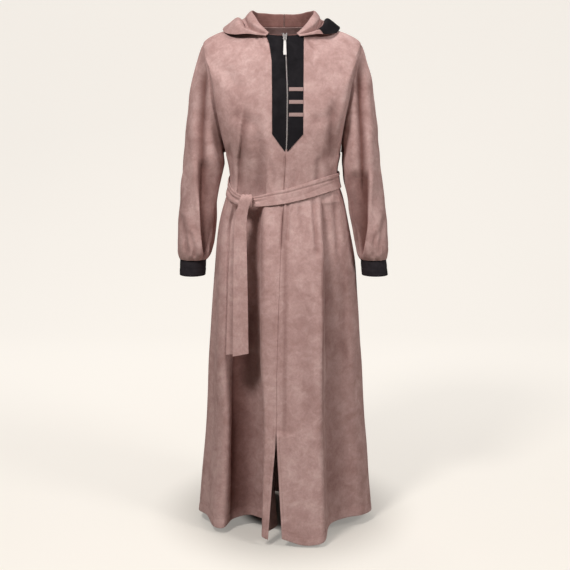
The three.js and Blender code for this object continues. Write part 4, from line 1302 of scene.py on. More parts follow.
@dataclass
class BodyPanels:
    """The two fronts and the back, with their creases, puckers and turned hems."""

    form: BodyForm
    finishes: Finishes
    wall: float = 1.8
    hem: float = 24.0
    seam_dip: float = 1.8
    cloth: dict[str, Cloth] = field(default_factory=dict)

    def unevenness(self, name: str, points: Grid, normals: Grid) -> tuple[Grid, Grid]:
        """What creases, gathers and hand-sewing add to a panel.

        Args:
            name: The panel.
            points: Its face.
            normals: Its normals.

        Returns:
            Millimetres along the normals, and the painted shade in the colour.
        """
        creases = BACK_CREASES if name == "back" else BODICE_CREASES + SKIRT_CREASES
        amount, dark = creased(points, normals, creases)
        z = points[..., 2]
        amount += 1.0 * waves(points, (130.0, 75.0), 11) * np.clip((-z - 60) / 120, 0, 1)
        line = -430 - 34 * np.clip(-points[..., 0] / 160, -0.4, 1) * (points[..., 1] < 0)
        from_belt = z - line
        around = np.arctan2(points[..., 0], -points[..., 1]) * 160
        ripples = np.sin(around / 5.6 + 2.1 * np.sin(around / 31)) * np.sin(around / 17 + 1.3)
        gather = np.exp(-((np.abs(from_belt) - 22) / 26) ** 2)
        amount += ripples * gather * np.where(from_belt < 0, 1.9, 1.2)
        dip = self.armhole_dip(name, points)
        # Painted shade on the fronts' top edge under the placket and beside the armhole seams.
        under_placket = (np.abs(points[..., 0]) < UNDER_HALF) & (points[..., 1] < UNDER_FRONT)
        dark = dark + under_placket * np.clip((points[..., 2] - UNDER_FOOT) / UNDER_FADE, 0, 1)
        return amount + dip, np.clip(dark - dip * PANEL_DIP_PAINTED_SHADE, 0, 1)

    def armhole_dip(self, name: str, points: Grid) -> Grid:
        """How far the cloth is drawn in beside the armhole's seam."""
        dip = np.zeros(points.shape[:2])
        rows = self.form.arm_rows
        for end in {"left": (-1,), "right": (0,), "back": (0, -1)}[name]:
            distance = np.linalg.norm(points[rows] - points[rows][:, end][:, None], axis=-1)
            dip[rows] -= self.seam_dip * np.exp(-((distance / 5) ** 2))
        return dip

    def hem_turn(self, cloth: Cloth) -> None:
        """Turns the hem up: its stitching pulls a shallow groove into the cloth."""
        down = np.linalg.norm(np.diff(cloth.points, axis=0), axis=-1)
        to_edge = np.pad(np.cumsum(down[::-1], axis=0)[::-1], ((0, 1), (0, 0)))
        groove = -0.9 * np.exp(-(((to_edge - self.hem) / 3.5) ** 2))
        pad = 0.5 * np.clip((self.hem - to_edge) / 6, 0, 1)
        cloth.push(groove + pad)

    def build(self) -> list[bpy.types.Object]:
        """Makes the three panels."""
        cuts = {
            "left": Cut(0.46, 1.44, 0.453, Hold.HUNG, ("front_right", "back")),
            "right": Cut(0.4, 1.44, 0.415, Hold.HUNG, ("front_left", "back")),
            "back": Cut(0.78, 1.42, 0.842, Hold.HUNG, ("front_left", "front_right")),
        }
        pieces = []
        for name, cut in cuts.items():
            points, normals = self.form.grid[name], self.form.normal[name]
            cloth = Cloth(points, normals)
            amount, cloth.dark = self.unevenness(name, points, normals)
            cloth.push(amount)
            self.hem_turn(cloth)
            self.cloth[name] = Cloth(cloth.points.copy(), cloth.normals)
            for end in (0, -1):
                cloth.roll_edge(1, end, 0.9)
            cloth.roll_edge(0, 0, 0.7)
            cloth.roll_edge(0, -1, 0.8)
            node = "back" if name == "back" else f"front_{name}"
            piece = cloth.solid(f"panel_{name}", self.wall)
            pieces.append(dress(piece, self.finishes.rose, (node,)))
        return pieces


class FrontSurface:
    """The finished front, as something that trims can be laid on."""

    def __init__(self, panels: BodyPanels) -> None:
        """Gathers the two fronts into one surface that can be asked for its height."""
        vertices: list[Grid] = []
        faces: list[Grid] = []
        normals: list[Grid] = []
        count = 0
        for name in ("left", "right"):
            points = panels.cloth[name].points
            index = np.arange(points.shape[0] * points.shape[1]).reshape(points.shape[:2]) + count
            quads = [index[:-1, :-1], index[:-1, 1:], index[1:, 1:], index[1:, :-1]]
            faces.append(np.stack(quads, -1).reshape(-1, 4))
            vertices.append(points.reshape(-1, 3))
            normals.append(grid_normals(points).reshape(-1, 3))
            count += index.size
        self.vertices = np.concatenate(vertices)
        self.normals = np.concatenate(normals)
        self.faces = np.concatenate(faces)
        self.tree = BVHTree.FromPolygons(self.vertices.tolist(), self.faces.tolist())

    def at(self, x: float, z: float) -> tuple[Grid, Grid]:
        """The front at a place seen from before it.

        Args:
            x: Millimetres to the right.
            z: Millimetres up.

        Returns:
            The point and its smooth outward normal.
        """
        start = Vector((x, -600.0, z))
        hit, _, number, _ = self.tree.ray_cast(start, Vector((0, 1, 0)))
        if hit is None:
            hit, _, number, _ = self.tree.find_nearest(Vector((x, -90.0, z)))
        corners = self.faces[number]
        place = np.array(hit)
        weights = 1 / (np.linalg.norm(self.vertices[corners] - place, axis=1) + 0.3) ** 2
        return place, unit((self.normals[corners] * weights[:, None]).sum(0))

    def lay(self, rows: list[list[tuple[float, float]]], lift: float) -> Cloth:
        """A trim laid on the front, its visible face this far above it.

        Args:
            rows: Places in x and z, rows running down and columns to the left.
            lift: Millimetres from the cloth to the trim's face.

        Returns:
            The trim's visible face.
        """
        found = [[self.at(x, z) for x, z in row] for row in rows]
        points = np.array([[point for point, _ in row] for row in found])
        normals = np.array([[normal for _, normal in row] for row in found])
        return Cloth(points + normals * lift, normals)


# ------------------------------------------------------------------ sleeves and cuffs
TUBE_HEADING = "z outer inner front back"
SLEEVES = {
    Side.LEFT: Table(
        TUBE_HEADING,
        [
            (-374, -281, -166, -72, 70),
            (-418, -286, -176, -72, 66),
            (-474, -290, -186, -73, 60),
            (-530, -295, -190, -75, 55),
            (-582, -297, -195, -77, 50),
            (-609, -297, -201, -75, 44),
            (-626, -295, -208, -70, 36),
            (-637, -292, -216, -62, 26),
        ],
    ),
    Side.RIGHT: Table(
        TUBE_HEADING,
        [
            (-374, 268, 162, -72, 70),
            (-418, 275, 167, -72, 66),
            (-474, 281, 177, -73, 60),
            (-530, 287, 188, -75, 55),
            (-582, 291, 198, -77, 50),
            (-609, 292, 204, -75, 44),
            (-626, 290, 208, -70, 36),
            (-637, 288, 213, -62, 26),
        ],
    ),
}
CUFFS = {
    Side.LEFT: Table(TUBE_HEADING, [(-637.3, -291, -218, -59, 22), (-682, -293, -221, -61, 18)]),
    Side.RIGHT: Table(TUBE_HEADING, [(-637.3, 287, 215, -59, 22), (-682, 292, 219, -61, 18)]),
}


def tube_ring(row: dict[str, float], columns: int, side: Side, swell: Grid | float = 0.0) -> Grid:
    """One ring of a sleeve or cuff, which starts on its outer side.

    Args:
        row: The ring's height, edges and depth.
        columns: The number of its points.
        side: The side of the garment.
        swell: How far each point stands out, in millimetres.

    Returns:
        The ring's points.
    """
    half_width = (row["outer"] - row["inner"]) / 2
    half_depth = (row["back"] - row["front"]) / 2
    turn = np.arange(columns) / columns * 2 * math.pi
    wide = 1 + swell / abs(half_width)
    x = (row["outer"] + row["inner"]) / 2 + half_width * np.cos(turn) * wide
    y = (row["back"] + row["front"]) / 2 - side.value * half_depth * np.sin(turn) * wide
    return np.stack([x, y, np.full(columns, row["z"])], -1)


@dataclass
class Sleeves:
    """The two set-in sleeves, gathered over their cuffs.

    Attributes:
        wall: The cloth's thickness.
        cap_rows: Rows from the armhole to the underarm section.
        steps: Rows between two sections below it.
        gather: The height and the depth of the gathers.
    """

    form: BodyForm
    finishes: Finishes
    wall: float = 1.8
    cap_rows: int = 60
    steps: int = 14
    pleats: tuple[tuple[float, float, float], ...] = (
        (0.35, 3.2, 5.0), (0.9, 2.2, 3.6), (1.45, 3.6, 5.5), (2.2, 2.6, 4.0), (2.75, 3.4, 5.2),
        (3.5, 2.8, 4.4), (4.05, 3.8, 5.4), (4.7, 2.4, 3.8), (5.25, 3.2, 5.0), (5.9, 2.6, 4.2),
    )

    def armhole(self, side: Side) -> tuple[Grid, Grid, Grid, Grid]:
        """The armhole's edge as a loop from the shoulder.

        Args:
            side: The side of the garment.

        Returns:
            Seam points, directions away from the body, body normals and lowness.
        """
        rows = self.form.arm_rows
        if side is Side.LEFT:
            front, back = ("left", -1, -self.form.left_steps // 2), ("back", 0, 4)
        else:
            front, back = ("right", 0, self.form.right_steps // 2), ("back", -1, -5)
        first, second = (front, back) if side is Side.RIGHT else (back, front)
        stops = [(first, i) for i in rows[:-1]] + [(second, i) for i in rows[:0:-1]]
        seam, away, normal, low = [], [], [], []
        span = rows[-1] - rows[0]
        for (panel, column, inside), i in stops:
            grid = self.form.plain[panel]
            share = (i - rows[0]) / span
            down_body = unit(grid[i, column] - grid[i, inside])
            over = grid[rows[0], column] - grid[rows[0] - 8, column]
            top = clamp(1 - share * 12, 0, 1)
            seam.append(grid[i, column])
            away.append(unit(down_body * (1 - top) + unit(over) * top))
            normal.append(self.form.normal[panel][i, column])
            low.append(share)
        return np.array(seam), np.array(away), np.array(normal), np.array(low)

    def swell(self, columns: int, z: float) -> Grid:
        """How far the gathers stand out round a ring."""
        turn = np.arange(columns) / columns * 2 * math.pi
        near = math.exp(-(((z + 622) / 26) ** 2))
        long = math.exp(-(((z + 612) / 46) ** 2))
        total = np.full(columns, 1.2 * near)
        for middle, depth, width in self.pleats:
            off = (turn - middle + math.pi) % (2 * math.pi) - math.pi
            reach = long if depth > 3 else near
            total -= depth * reach * np.exp(-((off * 40 / width) ** 2))
        return total

    def sleeve(self, side: Side) -> bpy.types.Object:
        """Makes one sleeve."""
        seam, away, normal, low = self.armhole(side)
        columns = len(seam)
        under = tube_ring(SLEEVES[side].at(0), columns, side)
        lowness = low[:, None]
        gap = unit(away * (1 - lowness) + normal * lowness)
        start = seam + gap * self.form.seam * 1.4
        reach = np.linalg.norm(start - under, axis=1)[:, None]
        lean = np.stack([np.full(columns, float(side.value)), np.zeros(columns),
                         -3.2 + 3.1 * low], -1)
        flat_away = away * np.array([1, 1, 0])
        lean = unit(unit(lean) + flat_away * 0.2 * (1 - lowness))
        leave = start + lean * np.maximum(reach * 0.22, 5)
        arrive = under + np.concatenate([-side.value * reach * 0.03, reach * 0, reach * 0.38], 1)
        rows = []
        for t in np.linspace(0, 1, self.cap_rows + 1):
            rows.append(
                start * (1 - t) ** 3 + 3 * leave * t * (1 - t) ** 2
                + 3 * arrive * t * t * (1 - t) + under * t**3
            )
        table = SLEEVES[side]
        for k in range(1, (len(table) - 1) * self.steps + 1):
            row = table.at(k / self.steps)
            rows.append(tube_ring(row, columns, side, self.swell(columns, row["z"])))
        points = np.array(rows)
        normals = grid_normals(points, True)
        blend = np.clip(1 - np.arange(len(rows)) / 4, 0, 1)[:, None, None]
        seam_normal = unit(normals[0] * lowness + normal * (1 - lowness))
        normals = unit(normals * (1 - blend) + seam_normal[None] * blend)
        cloth = Cloth(points, normals, loop=True)
        amount, dark = creased(points, normals, SLEEVE_CREASES)
        from_seam = np.linspace(0, 1, self.cap_rows + 1)
        ease = np.zeros(points.shape[:2])
        ease[: self.cap_rows + 1] = np.clip(from_seam / 0.08, 0, 1)[:, None]
        ease[self.cap_rows + 1 :] = 1
        z = points[..., 2]
        to_cuff = np.clip((z + 637) / 20, 0, 1)
        rough = 1.3 * waves(points, (95.0, 55.0), 23 + side.value)
        down = np.linalg.norm(np.diff(points, axis=0), axis=-1)
        from_edge = np.pad(np.cumsum(down, axis=0), ((1, 0), (0, 0)))
        dip = -(1.6 + 4.0 * low[None, :]) * np.exp(-((from_edge / 6) ** 2))
        cloth.push((amount + rough) * ease * to_cuff + dip)
        # Painted shade in the sleeve's creases and beside its armhole seam.
        cloth.dark = np.clip(dark * ease - dip * SLEEVE_DIP_PAINTED_SHADE, 0, 1)
        cloth.roll_edge(0, 0, 1.6)
        cloth.roll_edge(0, -1, 0.8)
        piece = cloth.solid(f"sleeve_{side.word}_cloth", self.wall)
        return dress(piece, self.finishes.rose, (f"sleeve_{side.word}",))

    def cuff(self, side: Side) -> bpy.types.Object:
        """Makes one cuff."""
        table = CUFFS[side]
        columns = 132
        rows = []
        for t in np.linspace(0, 1, 27):
            ring = tube_ring(table.at(t), columns, side)
            rows.append(ring)
        points = np.array(rows)
        normals = grid_normals(points, True)
        cloth = Cloth(points, normals, loop=True)
        down = np.linspace(0, 1, 27)[:, None]
        crown = 0.7 * np.sin(down * math.pi) - 0.35
        middle = -0.5 * np.exp(-(((down - 0.52) / 0.05) ** 2))
        cloth.push(crown + middle + 0.7 * waves(points, (42.0, 24.0), 31 + side.value))
        cloth.roll_all(0.9)
        piece = cloth.solid(f"cuff_{side.word}_cloth", 2.2)
        return dress(piece, self.finishes.cuff, (f"cuff_{side.word}",))

    def build(self) -> None:
        """Makes both sleeves and both cuffs."""
        for side in Side:
            self.sleeve(side)
            self.cuff(side)


# ------------------------------------------------------------------ the hood
HOOD_HEADING = (
    "angle seamLift rollOut rollZ overOut overZ bridge restLevel pouch "
    "rimLevel rimLift edgeLevel edgeLift"
)
HOODS = {
    Side.LEFT: Table(
        HOOD_HEADING,
        [
            (26, 3.6, 0, -15, 6, -17, 0, 0.2, 1.5, 0.3, 9, 0.38, 9),
            (46, 2, 2, 9, 15, 2, 0, 0.42, 2, 0.6, 17, 0.85, 12),
            (66, 0.7, 3, 31, 19, 18, 2, 0.57, 3, 0.78, 25, 1.38, 13),
            (90, 0.7, 4, 44, 20, 30, 8, 0.64, 5, 0.86, 29, 1.72, 6),
            (114, 0.7, 6, 46, 22, 32, 26, 1.1, 12, 1.12, 37, 1.6, 40),
            (136, 0.7, 8, 43, 22, 32, 18, 2.4, 20, 1.85, 46, 1.45, 56),
            (158, 0.7, 9, 40, 20, 32, 6, 4.3, 25, 2.1, 54, 1.55, 52),
            (180, 0.7, 9, 39, 18, 32, 0, 5, 27, 2.2, 55, 1.6, 50),
        ],
    ),
    Side.RIGHT: Table(
        HOOD_HEADING,
        [
            (22, 3.6, 0, -17, 6, -19, 0, 0.2, 1.5, 0.3, 9, 0.38, 9),
            (44, 2, 2, 8, 15, 0, 0, 0.42, 2, 0.6, 16, 0.82, 12),
            (66, 0.7, 3, 30, 19, 17, 2, 0.57, 3, 0.8, 24, 1.3, 11),
            (90, 0.7, 4, 44, 20, 29, 8, 0.66, 5, 0.88, 28, 1.64, 6),
            (114, 0.7, 6, 46, 22, 32, 26, 1.1, 12, 1.12, 36, 1.6, 39),
            (136, 0.7, 8, 43, 22, 32, 18, 2.4, 20, 1.85, 46, 1.45, 56),
            (158, 0.7, 9, 40, 20, 32, 6, 4.3, 25, 2.1, 54, 1.55, 52),
            (180, 0.7, 9, 39, 18, 32, 0, 5, 27, 2.2, 55, 1.6, 50),
        ],
    ),
}


# The lifted wing: the middle and spread of its run round the hood, as shares of it, and where
# across the hood it starts and how wide it is.
WING_MIDDLE, WING_SPREAD, WING_START, WING_WIDTH = 0.16, 0.11, 0.7, 0.3
# The shade painted on the inside of the neck: where across the hood it ends and how softly, and
# where round the hood it starts and how softly.
NECK_END, NECK_SOFT, NECK_FROM, NECK_RISE = 0.135, 0.03, 0.1, 0.1


@dataclass
class Hood:
    """The hood lying down: two halves seamed down the back, with a black facing.

    Attributes:
        rest: The visible face over the body where the hood rests.
        bridge_end: How much of the bridge over the hollow is left where it rests.
        rows: Rows round one half, a multiple of fourteen.
        steps: Columns between two lines of the hood, an even number.
        wall: The cloth's thickness.
        facing: The facing's thickness.
        inner_painted_shade: How dark the shade painted on the inside of the neck is.
        outer_painted_shade: The shade painted everywhere else on the hood.
        edge_lift: How far the edge of each wing is turned up.
    """

    form: BodyForm
    finishes: Finishes
    rest: float = 6.5
    bridge_end: float = 0.3
    rows: int = 70
    steps: int = 10
    wall: float = 1.8
    facing: float = 1.1
    inner_painted_shade: float = 0.97
    outer_painted_shade: float = 0.12
    edge_lift: float = 9.5

    def lines(self, row: dict[str, float], side: Side) -> list[Grid]:
        """The hood's lines at one angle, from the neck seam over the roll to its edge."""
        angle = row["angle"] * side.value
        neck, _ = self.form.at(0, angle)
        outward = unit(neck * np.array([1, 1, 0]))
        seam = neck + np.array([0, 0, row["seamLift"]]) + 0.4 * outward
        roll = neck + outward * row["rollOut"]
        roll[2] = row["rollZ"]
        over = neck + outward * row["overOut"]
        over[2] = row["overZ"]

        def on(position: float, lift: float) -> Grid:
            """A point this far above the body."""
            point, normal = self.form.at(position, angle)
            return point + normal * lift

        start = min(0.5, row["restLevel"] * 0.6)
        bridge = self.rest + row["bridge"]
        slope = [on(mix(start, row["restLevel"], share), bridge) for share in (0.4, 0.7)]
        lift = self.rest + self.bridge_end * row["bridge"]
        return [
            seam,
            roll,
            over,
            *slope,
            on(row["restLevel"], lift),
            on(row["restLevel"], lift + row["pouch"]),
            on(row["rimLevel"], row["rimLift"]),
            on(row["edgeLevel"], row["edgeLift"]),
        ]

    def half(self, side: Side) -> Cloth:
        """The visible face of one half."""
        table = HOODS[side]
        spans = [self.steps] * 8
        rows = [
            through(self.lines(table.at(at), side), False, spans)
            for at in np.linspace(0, len(table) - 1, self.rows + 1)
        ]
        grid = np.array(rows)
        grid[-1, :, 0] = side.value * self.form.seam / 2
        if side is Side.LEFT:
            grid = grid[:, ::-1]
        normals = grid_normals(grid)
        normals[-1, :, 0] = 0
        return Cloth(grid, unit(normals))

    def crumple(self, cloth: Cloth, side: Side) -> None:
        """Soft uneven folds of a hood that has fallen back."""
        rows, columns = cloth.points.shape[:2]
        round_it = np.linspace(0, 1, rows)[:, None]
        across = np.linspace(0, 1, columns)[None, :]
        if side is Side.LEFT:
            across = across[:, ::-1]
        calm = np.clip(across / 0.12, 0, 1) * np.clip((1 - across) / 0.08, 0, 1)
        calm = calm * np.clip((1 - round_it) / 0.05, 0, 1) * np.clip(round_it / 0.06, 0, 1)
        waves_1 = np.sin(round_it * 26 + across * 6 + side.value) * 0.7
        waves_2 = np.sin(round_it * 11 - across * 9 + 2 * side.value) * 1.0
        amount = (waves_1 + waves_2) * np.clip(round_it * 1.6, 0.25, 1)
        cloth.push(amount * calm + 0.6 * calm * waves(cloth.points, (48.0, 30.0), 41))
        wing = np.exp(-(((round_it - WING_MIDDLE) / WING_SPREAD) ** 2))
        wing = wing * np.clip((across - WING_START) / WING_WIDTH, 0, 1)
        cloth.points[..., 2] += self.edge_lift * wing

    def painted_neck_shade(self, side: Side) -> Grid:
        """The painted shade: light all over, deep on the inside of the neck, up to the roll."""
        rows, columns = self.rows + 1, self.steps * 8 + 1
        round_it = np.linspace(0, 1, rows)[:, None]
        across = np.linspace(0, 1, columns)[None, :]
        if side is Side.LEFT:
            across = across[:, ::-1]
        inside = np.clip((NECK_END - across) / NECK_SOFT, 0, 1)
        deep = inside * np.clip((round_it - NECK_FROM) / NECK_RISE, 0, 1)
        return self.outer_painted_shade + (self.inner_painted_shade - self.outer_painted_shade) * deep

    def facing_strip(self, cloth: Cloth, side: Side, rows: tuple[int, int], steps: int,
                     under: bool, name: str) -> bpy.types.Object:
        """A black facing along the hood's edge.

        Args:
            cloth: The half that it is sewn to.
            side: Which half that is.
            rows: The first and last fourteenth of the half that it covers.
            steps: Its breadth in half spans from the edge.
            under: Whether it lies on the under side.
            name: The node that it stands for.

        Returns:
            The piece.
        """
        scale, wide = self.rows // 14, steps * self.steps // 2
        pick = slice(rows[0] * scale, rows[1] * scale + 1)
        columns = slice(0, wide + 1) if side is Side.LEFT else slice(-wide - 1, None)
        points, normals = cloth.points[pick, columns], cloth.normals[pick, columns]
        lift = -2.2 if under else 1.4
        strip = Cloth(points + normals * lift, normals)
        strip.roll_all(0.5)
        piece = strip.solid(f"{name}_cloth", self.facing)
        return dress(piece, self.finishes.black, (name,))

    def build(self) -> dict[Side, Cloth]:
        """Makes both halves and the facings.

        Returns:
            The visible face of each half.
        """
        faces = {}
        for side in Side:
            cloth = self.half(side)
            self.crumple(cloth, side)
            # The hood's colour is darkened by painted shade.
            cloth.dark = self.painted_neck_shade(side)
            faces[side] = Cloth(cloth.points.copy(), cloth.normals)
            for end in (0, -1):
                cloth.roll_edge(1, end, 0.8)
                cloth.roll_edge(0, end, 0.8)
            piece = cloth.solid(f"hood_{side.word}_cloth", self.wall)
            dress(piece, self.finishes.rose, (f"hood_{side.word}",))
        self.facing_strip(
            faces[Side.LEFT], Side.LEFT, (1, 8), 2, True, "hood_facing_left",
        )
        self.facing_strip(
            faces[Side.LEFT], Side.LEFT, (9, 14), 3, False, "hood_facing_back",
        )
        self.facing_strip(
            faces[Side.RIGHT], Side.RIGHT, (3, 14), 3, False, "hood_facing_right",
        )
        return faces


# ------------------------------------------------------------------ placket and zip
PLACKET = Table(
    "z zip left right",
    [
        (-19, 2, -50, 54),
        (-43, 3.4, -40, 53),
        (-88, 6, -33, 52.5),
        (-180, 9, -32, 52),
        (-284, 8, -32, 51.5),
        (-330, 6, 1.5, 10.5),
    ],
)


@dataclass
class Placket:
    """The pointed black placket, its three stripes and the zip down its middle.

    Attributes:
        inset: From the zip's middle to the placket's inner edge.
        drop: From the neck seam to the placket's top edge.
        wall: Its thickness.
        lift: Its face above the front.
    """

    front: FrontSurface
    finishes: Finishes
    form: BodyForm
    inset: float = 2.7
    drop: float = 2.0
    wall: float = 1.2
    lift: float = 1.9
    stripe_height: float = 10.0
    stripe_pitch: float = 33.5
    stripe_top: float = -160.0
    stripe_from: float = 13.0
    stripe_to: float = 51.5
    zip_top: float = -41.0
    zip_bottom: float = -324.0

    def at(self, z: float) -> dict[str, float]:
        """The placket's table at a height, straight from row to row."""
        heights = PLACKET.column("z")
        below = int(clamp(np.searchsorted(-heights, -z), 1, len(heights) - 1))
        share = (heights[below - 1] - z) / (heights[below - 1] - heights[below])
        upper, lower = PLACKET.values[below - 1], PLACKET.values[below]
        return dict(zip(PLACKET.names, mix(upper, lower, share).tolist()))

    def neck_edge(self, x: float) -> float:
        """The height of the neck seam at x."""
        share = clamp(abs(x - 2) / 82, 0, 1)
        depth = self.form.section_depth(share)
        return mix(4, -21, depth**self.form.ridge)

    def half(self, side: Side) -> bpy.types.Object:
        """Makes one half, from the neck edge to its point."""
        rows = []
        for z in np.concatenate([np.linspace(-19, -284, 92), np.linspace(-284, -330, 24)[1:]]):
            sizes = self.at(float(z))
            outer = sizes["left"] if side is Side.LEFT else sizes["right"]
            row = []
            for out in np.linspace(0, 1, 19):
                x = mix(sizes["zip"] + side.value * self.inset, outer, out)
                from_top = (-19 - z) / 311
                lowered = self.neck_edge(x) - self.drop + 19
                row.append((x, float(z) + lowered * (1 - from_top) ** 6))
            rows.append(row if side is Side.LEFT else row[::-1])
        cloth = self.front.lay(rows, self.lift)
        cloth.push(0.35 * waves(cloth.points, (38.0, 22.0), 51))
        cloth.roll_all(1.1)
        piece = cloth.solid(f"placket_{side.word}_cloth", self.wall)
        return dress(piece, self.finishes.black, (f"placket_{side.word}",))

    def stripe(self, number: int) -> bpy.types.Object:
        """Makes one of the three short stripes."""
        top = self.stripe_top - number * self.stripe_pitch
        rows = [
            [(float(x), float(z)) for x in np.linspace(self.stripe_to, self.stripe_from, 25)]
            for z in np.linspace(top, top - self.stripe_height, 9)
        ]
        cloth = self.front.lay(rows, self.lift + 1.1)
        cloth.roll_all(0.6)
        piece = cloth.solid(f"stripe_{number + 1}_tape", 0.9)
        return dress(piece, self.finishes.stripe, (f"stripe_{number + 1}",))

    def tape(self) -> bpy.types.Object:
        """Makes the woven tape that carries the teeth."""
        rows = []
        for z in np.linspace(self.zip_top + 12, self.zip_bottom, 90):
            middle = self.at(float(z))["zip"]
            rows.append([(middle + x, float(z)) for x in np.linspace(3.4, -3.4, 7)])
        cloth = self.front.lay(rows, 0.75)
        cloth.roll_all(0.25)
        piece = cloth.solid("zip_tape_cloth", 0.6)
        return dress(piece, self.finishes.tape)

    def teeth_path(self) -> tuple[Grid, Grid]:
        """The line of the zip, with the way that it faces."""
        places = [(self.at(float(z))["zip"], float(z))
                  for z in np.linspace(self.zip_top, self.zip_bottom, 120)]
        found = [self.front.at(x, z) for x, z in places]
        points = np.array([p for p, _ in found])
        normals = np.array([n for _, n in found])
        return points + normals * 1.3, normals

    def build(self) -> None:
        """Makes the placket, its stripes and the zip's tape and teeth."""
        for side in Side:
            self.half(side)
        for number in range(3):
            self.stripe(number)
        self.tape()
        points, normals = self.teeth_path()
        teeth = run_along(
            "zip_teeth", [(points, normals)], teeth_tree(self.finishes.teeth),
            {"Pitch": 1.35 * MM, "Tooth Length": 3.5 * MM, "Tooth Width": 1.1 * MM,
             "Tooth Height": 1.5 * MM, "Reach": 0.8 * MM},
        )
        dress(teeth, self.finishes.teeth, ("zip_chain",))


# ------------------------------------------------------------------ rows of stitches and teeth
def path_tree(name: str, shape: str, finish: bpy.types.Material,
              sizes: dict[str, float]) -> tuple[Tree, dict[str, bpy.types.Node]]:
    """Starts a Geometry Nodes tree that sets one shape along paths.

    Args:
        name: The tree's name.
        shape: The node that makes the repeated shape.
        finish: The material that the result wears.
        sizes: The tree's named inputs with their usual values.

    Returns:
        The tree and its main nodes.
    """
    group = bpy.data.node_groups.new(name, "GeometryNodeTree")
    t = Tree(group)
    t.socket("Geometry", "NodeSocketGeometry")
    for label, value in sizes.items():
        t.socket(label, "NodeSocketFloat", value=value)
    t.socket("Geometry", "NodeSocketGeometry", output=True)
    nodes = {
        "in": t.add("NodeGroupInput"),
        "curve": t.add("GeometryNodeMeshToCurve"),
        "resample": t.add("GeometryNodeResampleCurve", mode="LENGTH"),
        "tangent": t.add("GeometryNodeInputTangent"),
        "outward": t.add("GeometryNodeInputNamedAttribute", data_type="FLOAT_VECTOR"),
        "along": t.add("FunctionNodeAlignRotationToVector", axis="X"),
        "upright": t.add("FunctionNodeAlignRotationToVector", axis="Z", pivot_axis="X"),
        "shape": t.add(shape),
        "place": t.add("GeometryNodeInstanceOnPoints"),
        "scale": t.add("ShaderNodeCombineXYZ"),
        "real": t.add("GeometryNodeRealizeInstances"),
        "smooth": t.add("GeometryNodeSetShadeSmooth"),
        "dress": t.add("GeometryNodeSetMaterial"),
        "out": t.add("NodeGroupOutput"),
    }
    nodes["outward"].inputs["Name"].default_value = "outward"
    nodes["dress"].inputs["Material"].default_value = finish
    t.link(nodes["in"].outputs["Geometry"], nodes["curve"].inputs[0])
    t.link(nodes["curve"].outputs[0], nodes["resample"].inputs["Curve"])
    t.link(nodes["in"].outputs["Pitch"], nodes["resample"].inputs["Length"])
    t.link(nodes["resample"].outputs[0], nodes["place"].inputs["Points"])
    t.link(nodes["tangent"].outputs[0], nodes["along"].inputs["Vector"])
    t.link(nodes["along"].outputs[0], nodes["upright"].inputs["Rotation"])
    t.link(nodes["outward"].outputs[0], nodes["upright"].inputs["Vector"])
    t.link(nodes["upright"].outputs[0], nodes["place"].inputs["Rotation"])
    t.link(nodes["shape"].outputs[0], nodes["place"].inputs["Instance"])
    t.link(nodes["scale"].outputs[0], nodes["place"].inputs["Scale"])
    t.link(nodes["place"].outputs[0], nodes["real"].inputs[0])
    t.link(nodes["real"].outputs[0], nodes["smooth"].inputs[0])
    t.link(nodes["smooth"].outputs[0], nodes["dress"].inputs[0])
    t.link(nodes["dress"].outputs[0], nodes["out"].inputs[0])
    return t, nodes


def stitch_tree(name: str, finish: bpy.types.Material) -> bpy.types.NodeTree:
    """Rows of short thread stitches, each sunk a little at its ends."""
    t, nodes = path_tree(
        name, "GeometryNodeMeshUVSphere", finish,
        {"Pitch": 0.003, "Stitch": 0.0022, "Thread": 0.0007},
    )
    nodes["shape"].inputs["Segments"].default_value = 6
    nodes["shape"].inputs["Rings"].default_value = 4
    nodes["shape"].inputs["Radius"].default_value = 0.5
    t.link(nodes["in"].outputs["Stitch"], nodes["scale"].inputs["X"])
    t.link(nodes["in"].outputs["Thread"], nodes["scale"].inputs["Y"])
    t.link(nodes["in"].outputs["Thread"], nodes["scale"].inputs["Z"])
    return t.tree


def teeth_tree(finish: bpy.types.Material) -> bpy.types.NodeTree:
    """A closed zip chain: teeth that reach over its middle from either side in turn."""
    t, nodes = path_tree(
        "zip_chain_teeth", "GeometryNodeMeshUVSphere", finish,
        {"Pitch": 0.00135, "Tooth Length": 0.0026, "Tooth Width": 0.00105,
         "Tooth Height": 0.0015, "Reach": 0.00085},
    )
    nodes["shape"].inputs["Segments"].default_value = 8
    nodes["shape"].inputs["Rings"].default_value = 5
    nodes["shape"].inputs["Radius"].default_value = 0.5
    t.link(nodes["in"].outputs["Tooth Width"], nodes["scale"].inputs["X"])
    t.link(nodes["in"].outputs["Tooth Length"], nodes["scale"].inputs["Y"])
    t.link(nodes["in"].outputs["Tooth Height"], nodes["scale"].inputs["Z"])
    number = t.add("GeometryNodeInputIndex")
    parity = t.add("ShaderNodeMath", operation="MODULO")
    parity.inputs[1].default_value = 2.0
    signed = t.add("ShaderNodeMapRange")
    signed.inputs["To Min"].default_value = -1.0
    reach = t.add("ShaderNodeMath", operation="MULTIPLY")
    aside = t.add("ShaderNodeCombineXYZ")
    shift = t.add("GeometryNodeTranslateInstances")
    t.link(number.outputs[0], parity.inputs[0])
    t.link(parity.outputs[0], signed.inputs["Value"])
    t.link(signed.outputs[0], reach.inputs[0])
    t.link(nodes["in"].outputs["Reach"], reach.inputs[1])
    t.link(reach.outputs[0], aside.inputs["Y"])
    t.link(nodes["place"].outputs[0], shift.inputs["Instances"])
    t.link(aside.outputs[0], shift.inputs["Translation"])
    t.link(shift.outputs[0], nodes["real"].inputs[0])
    return t.tree


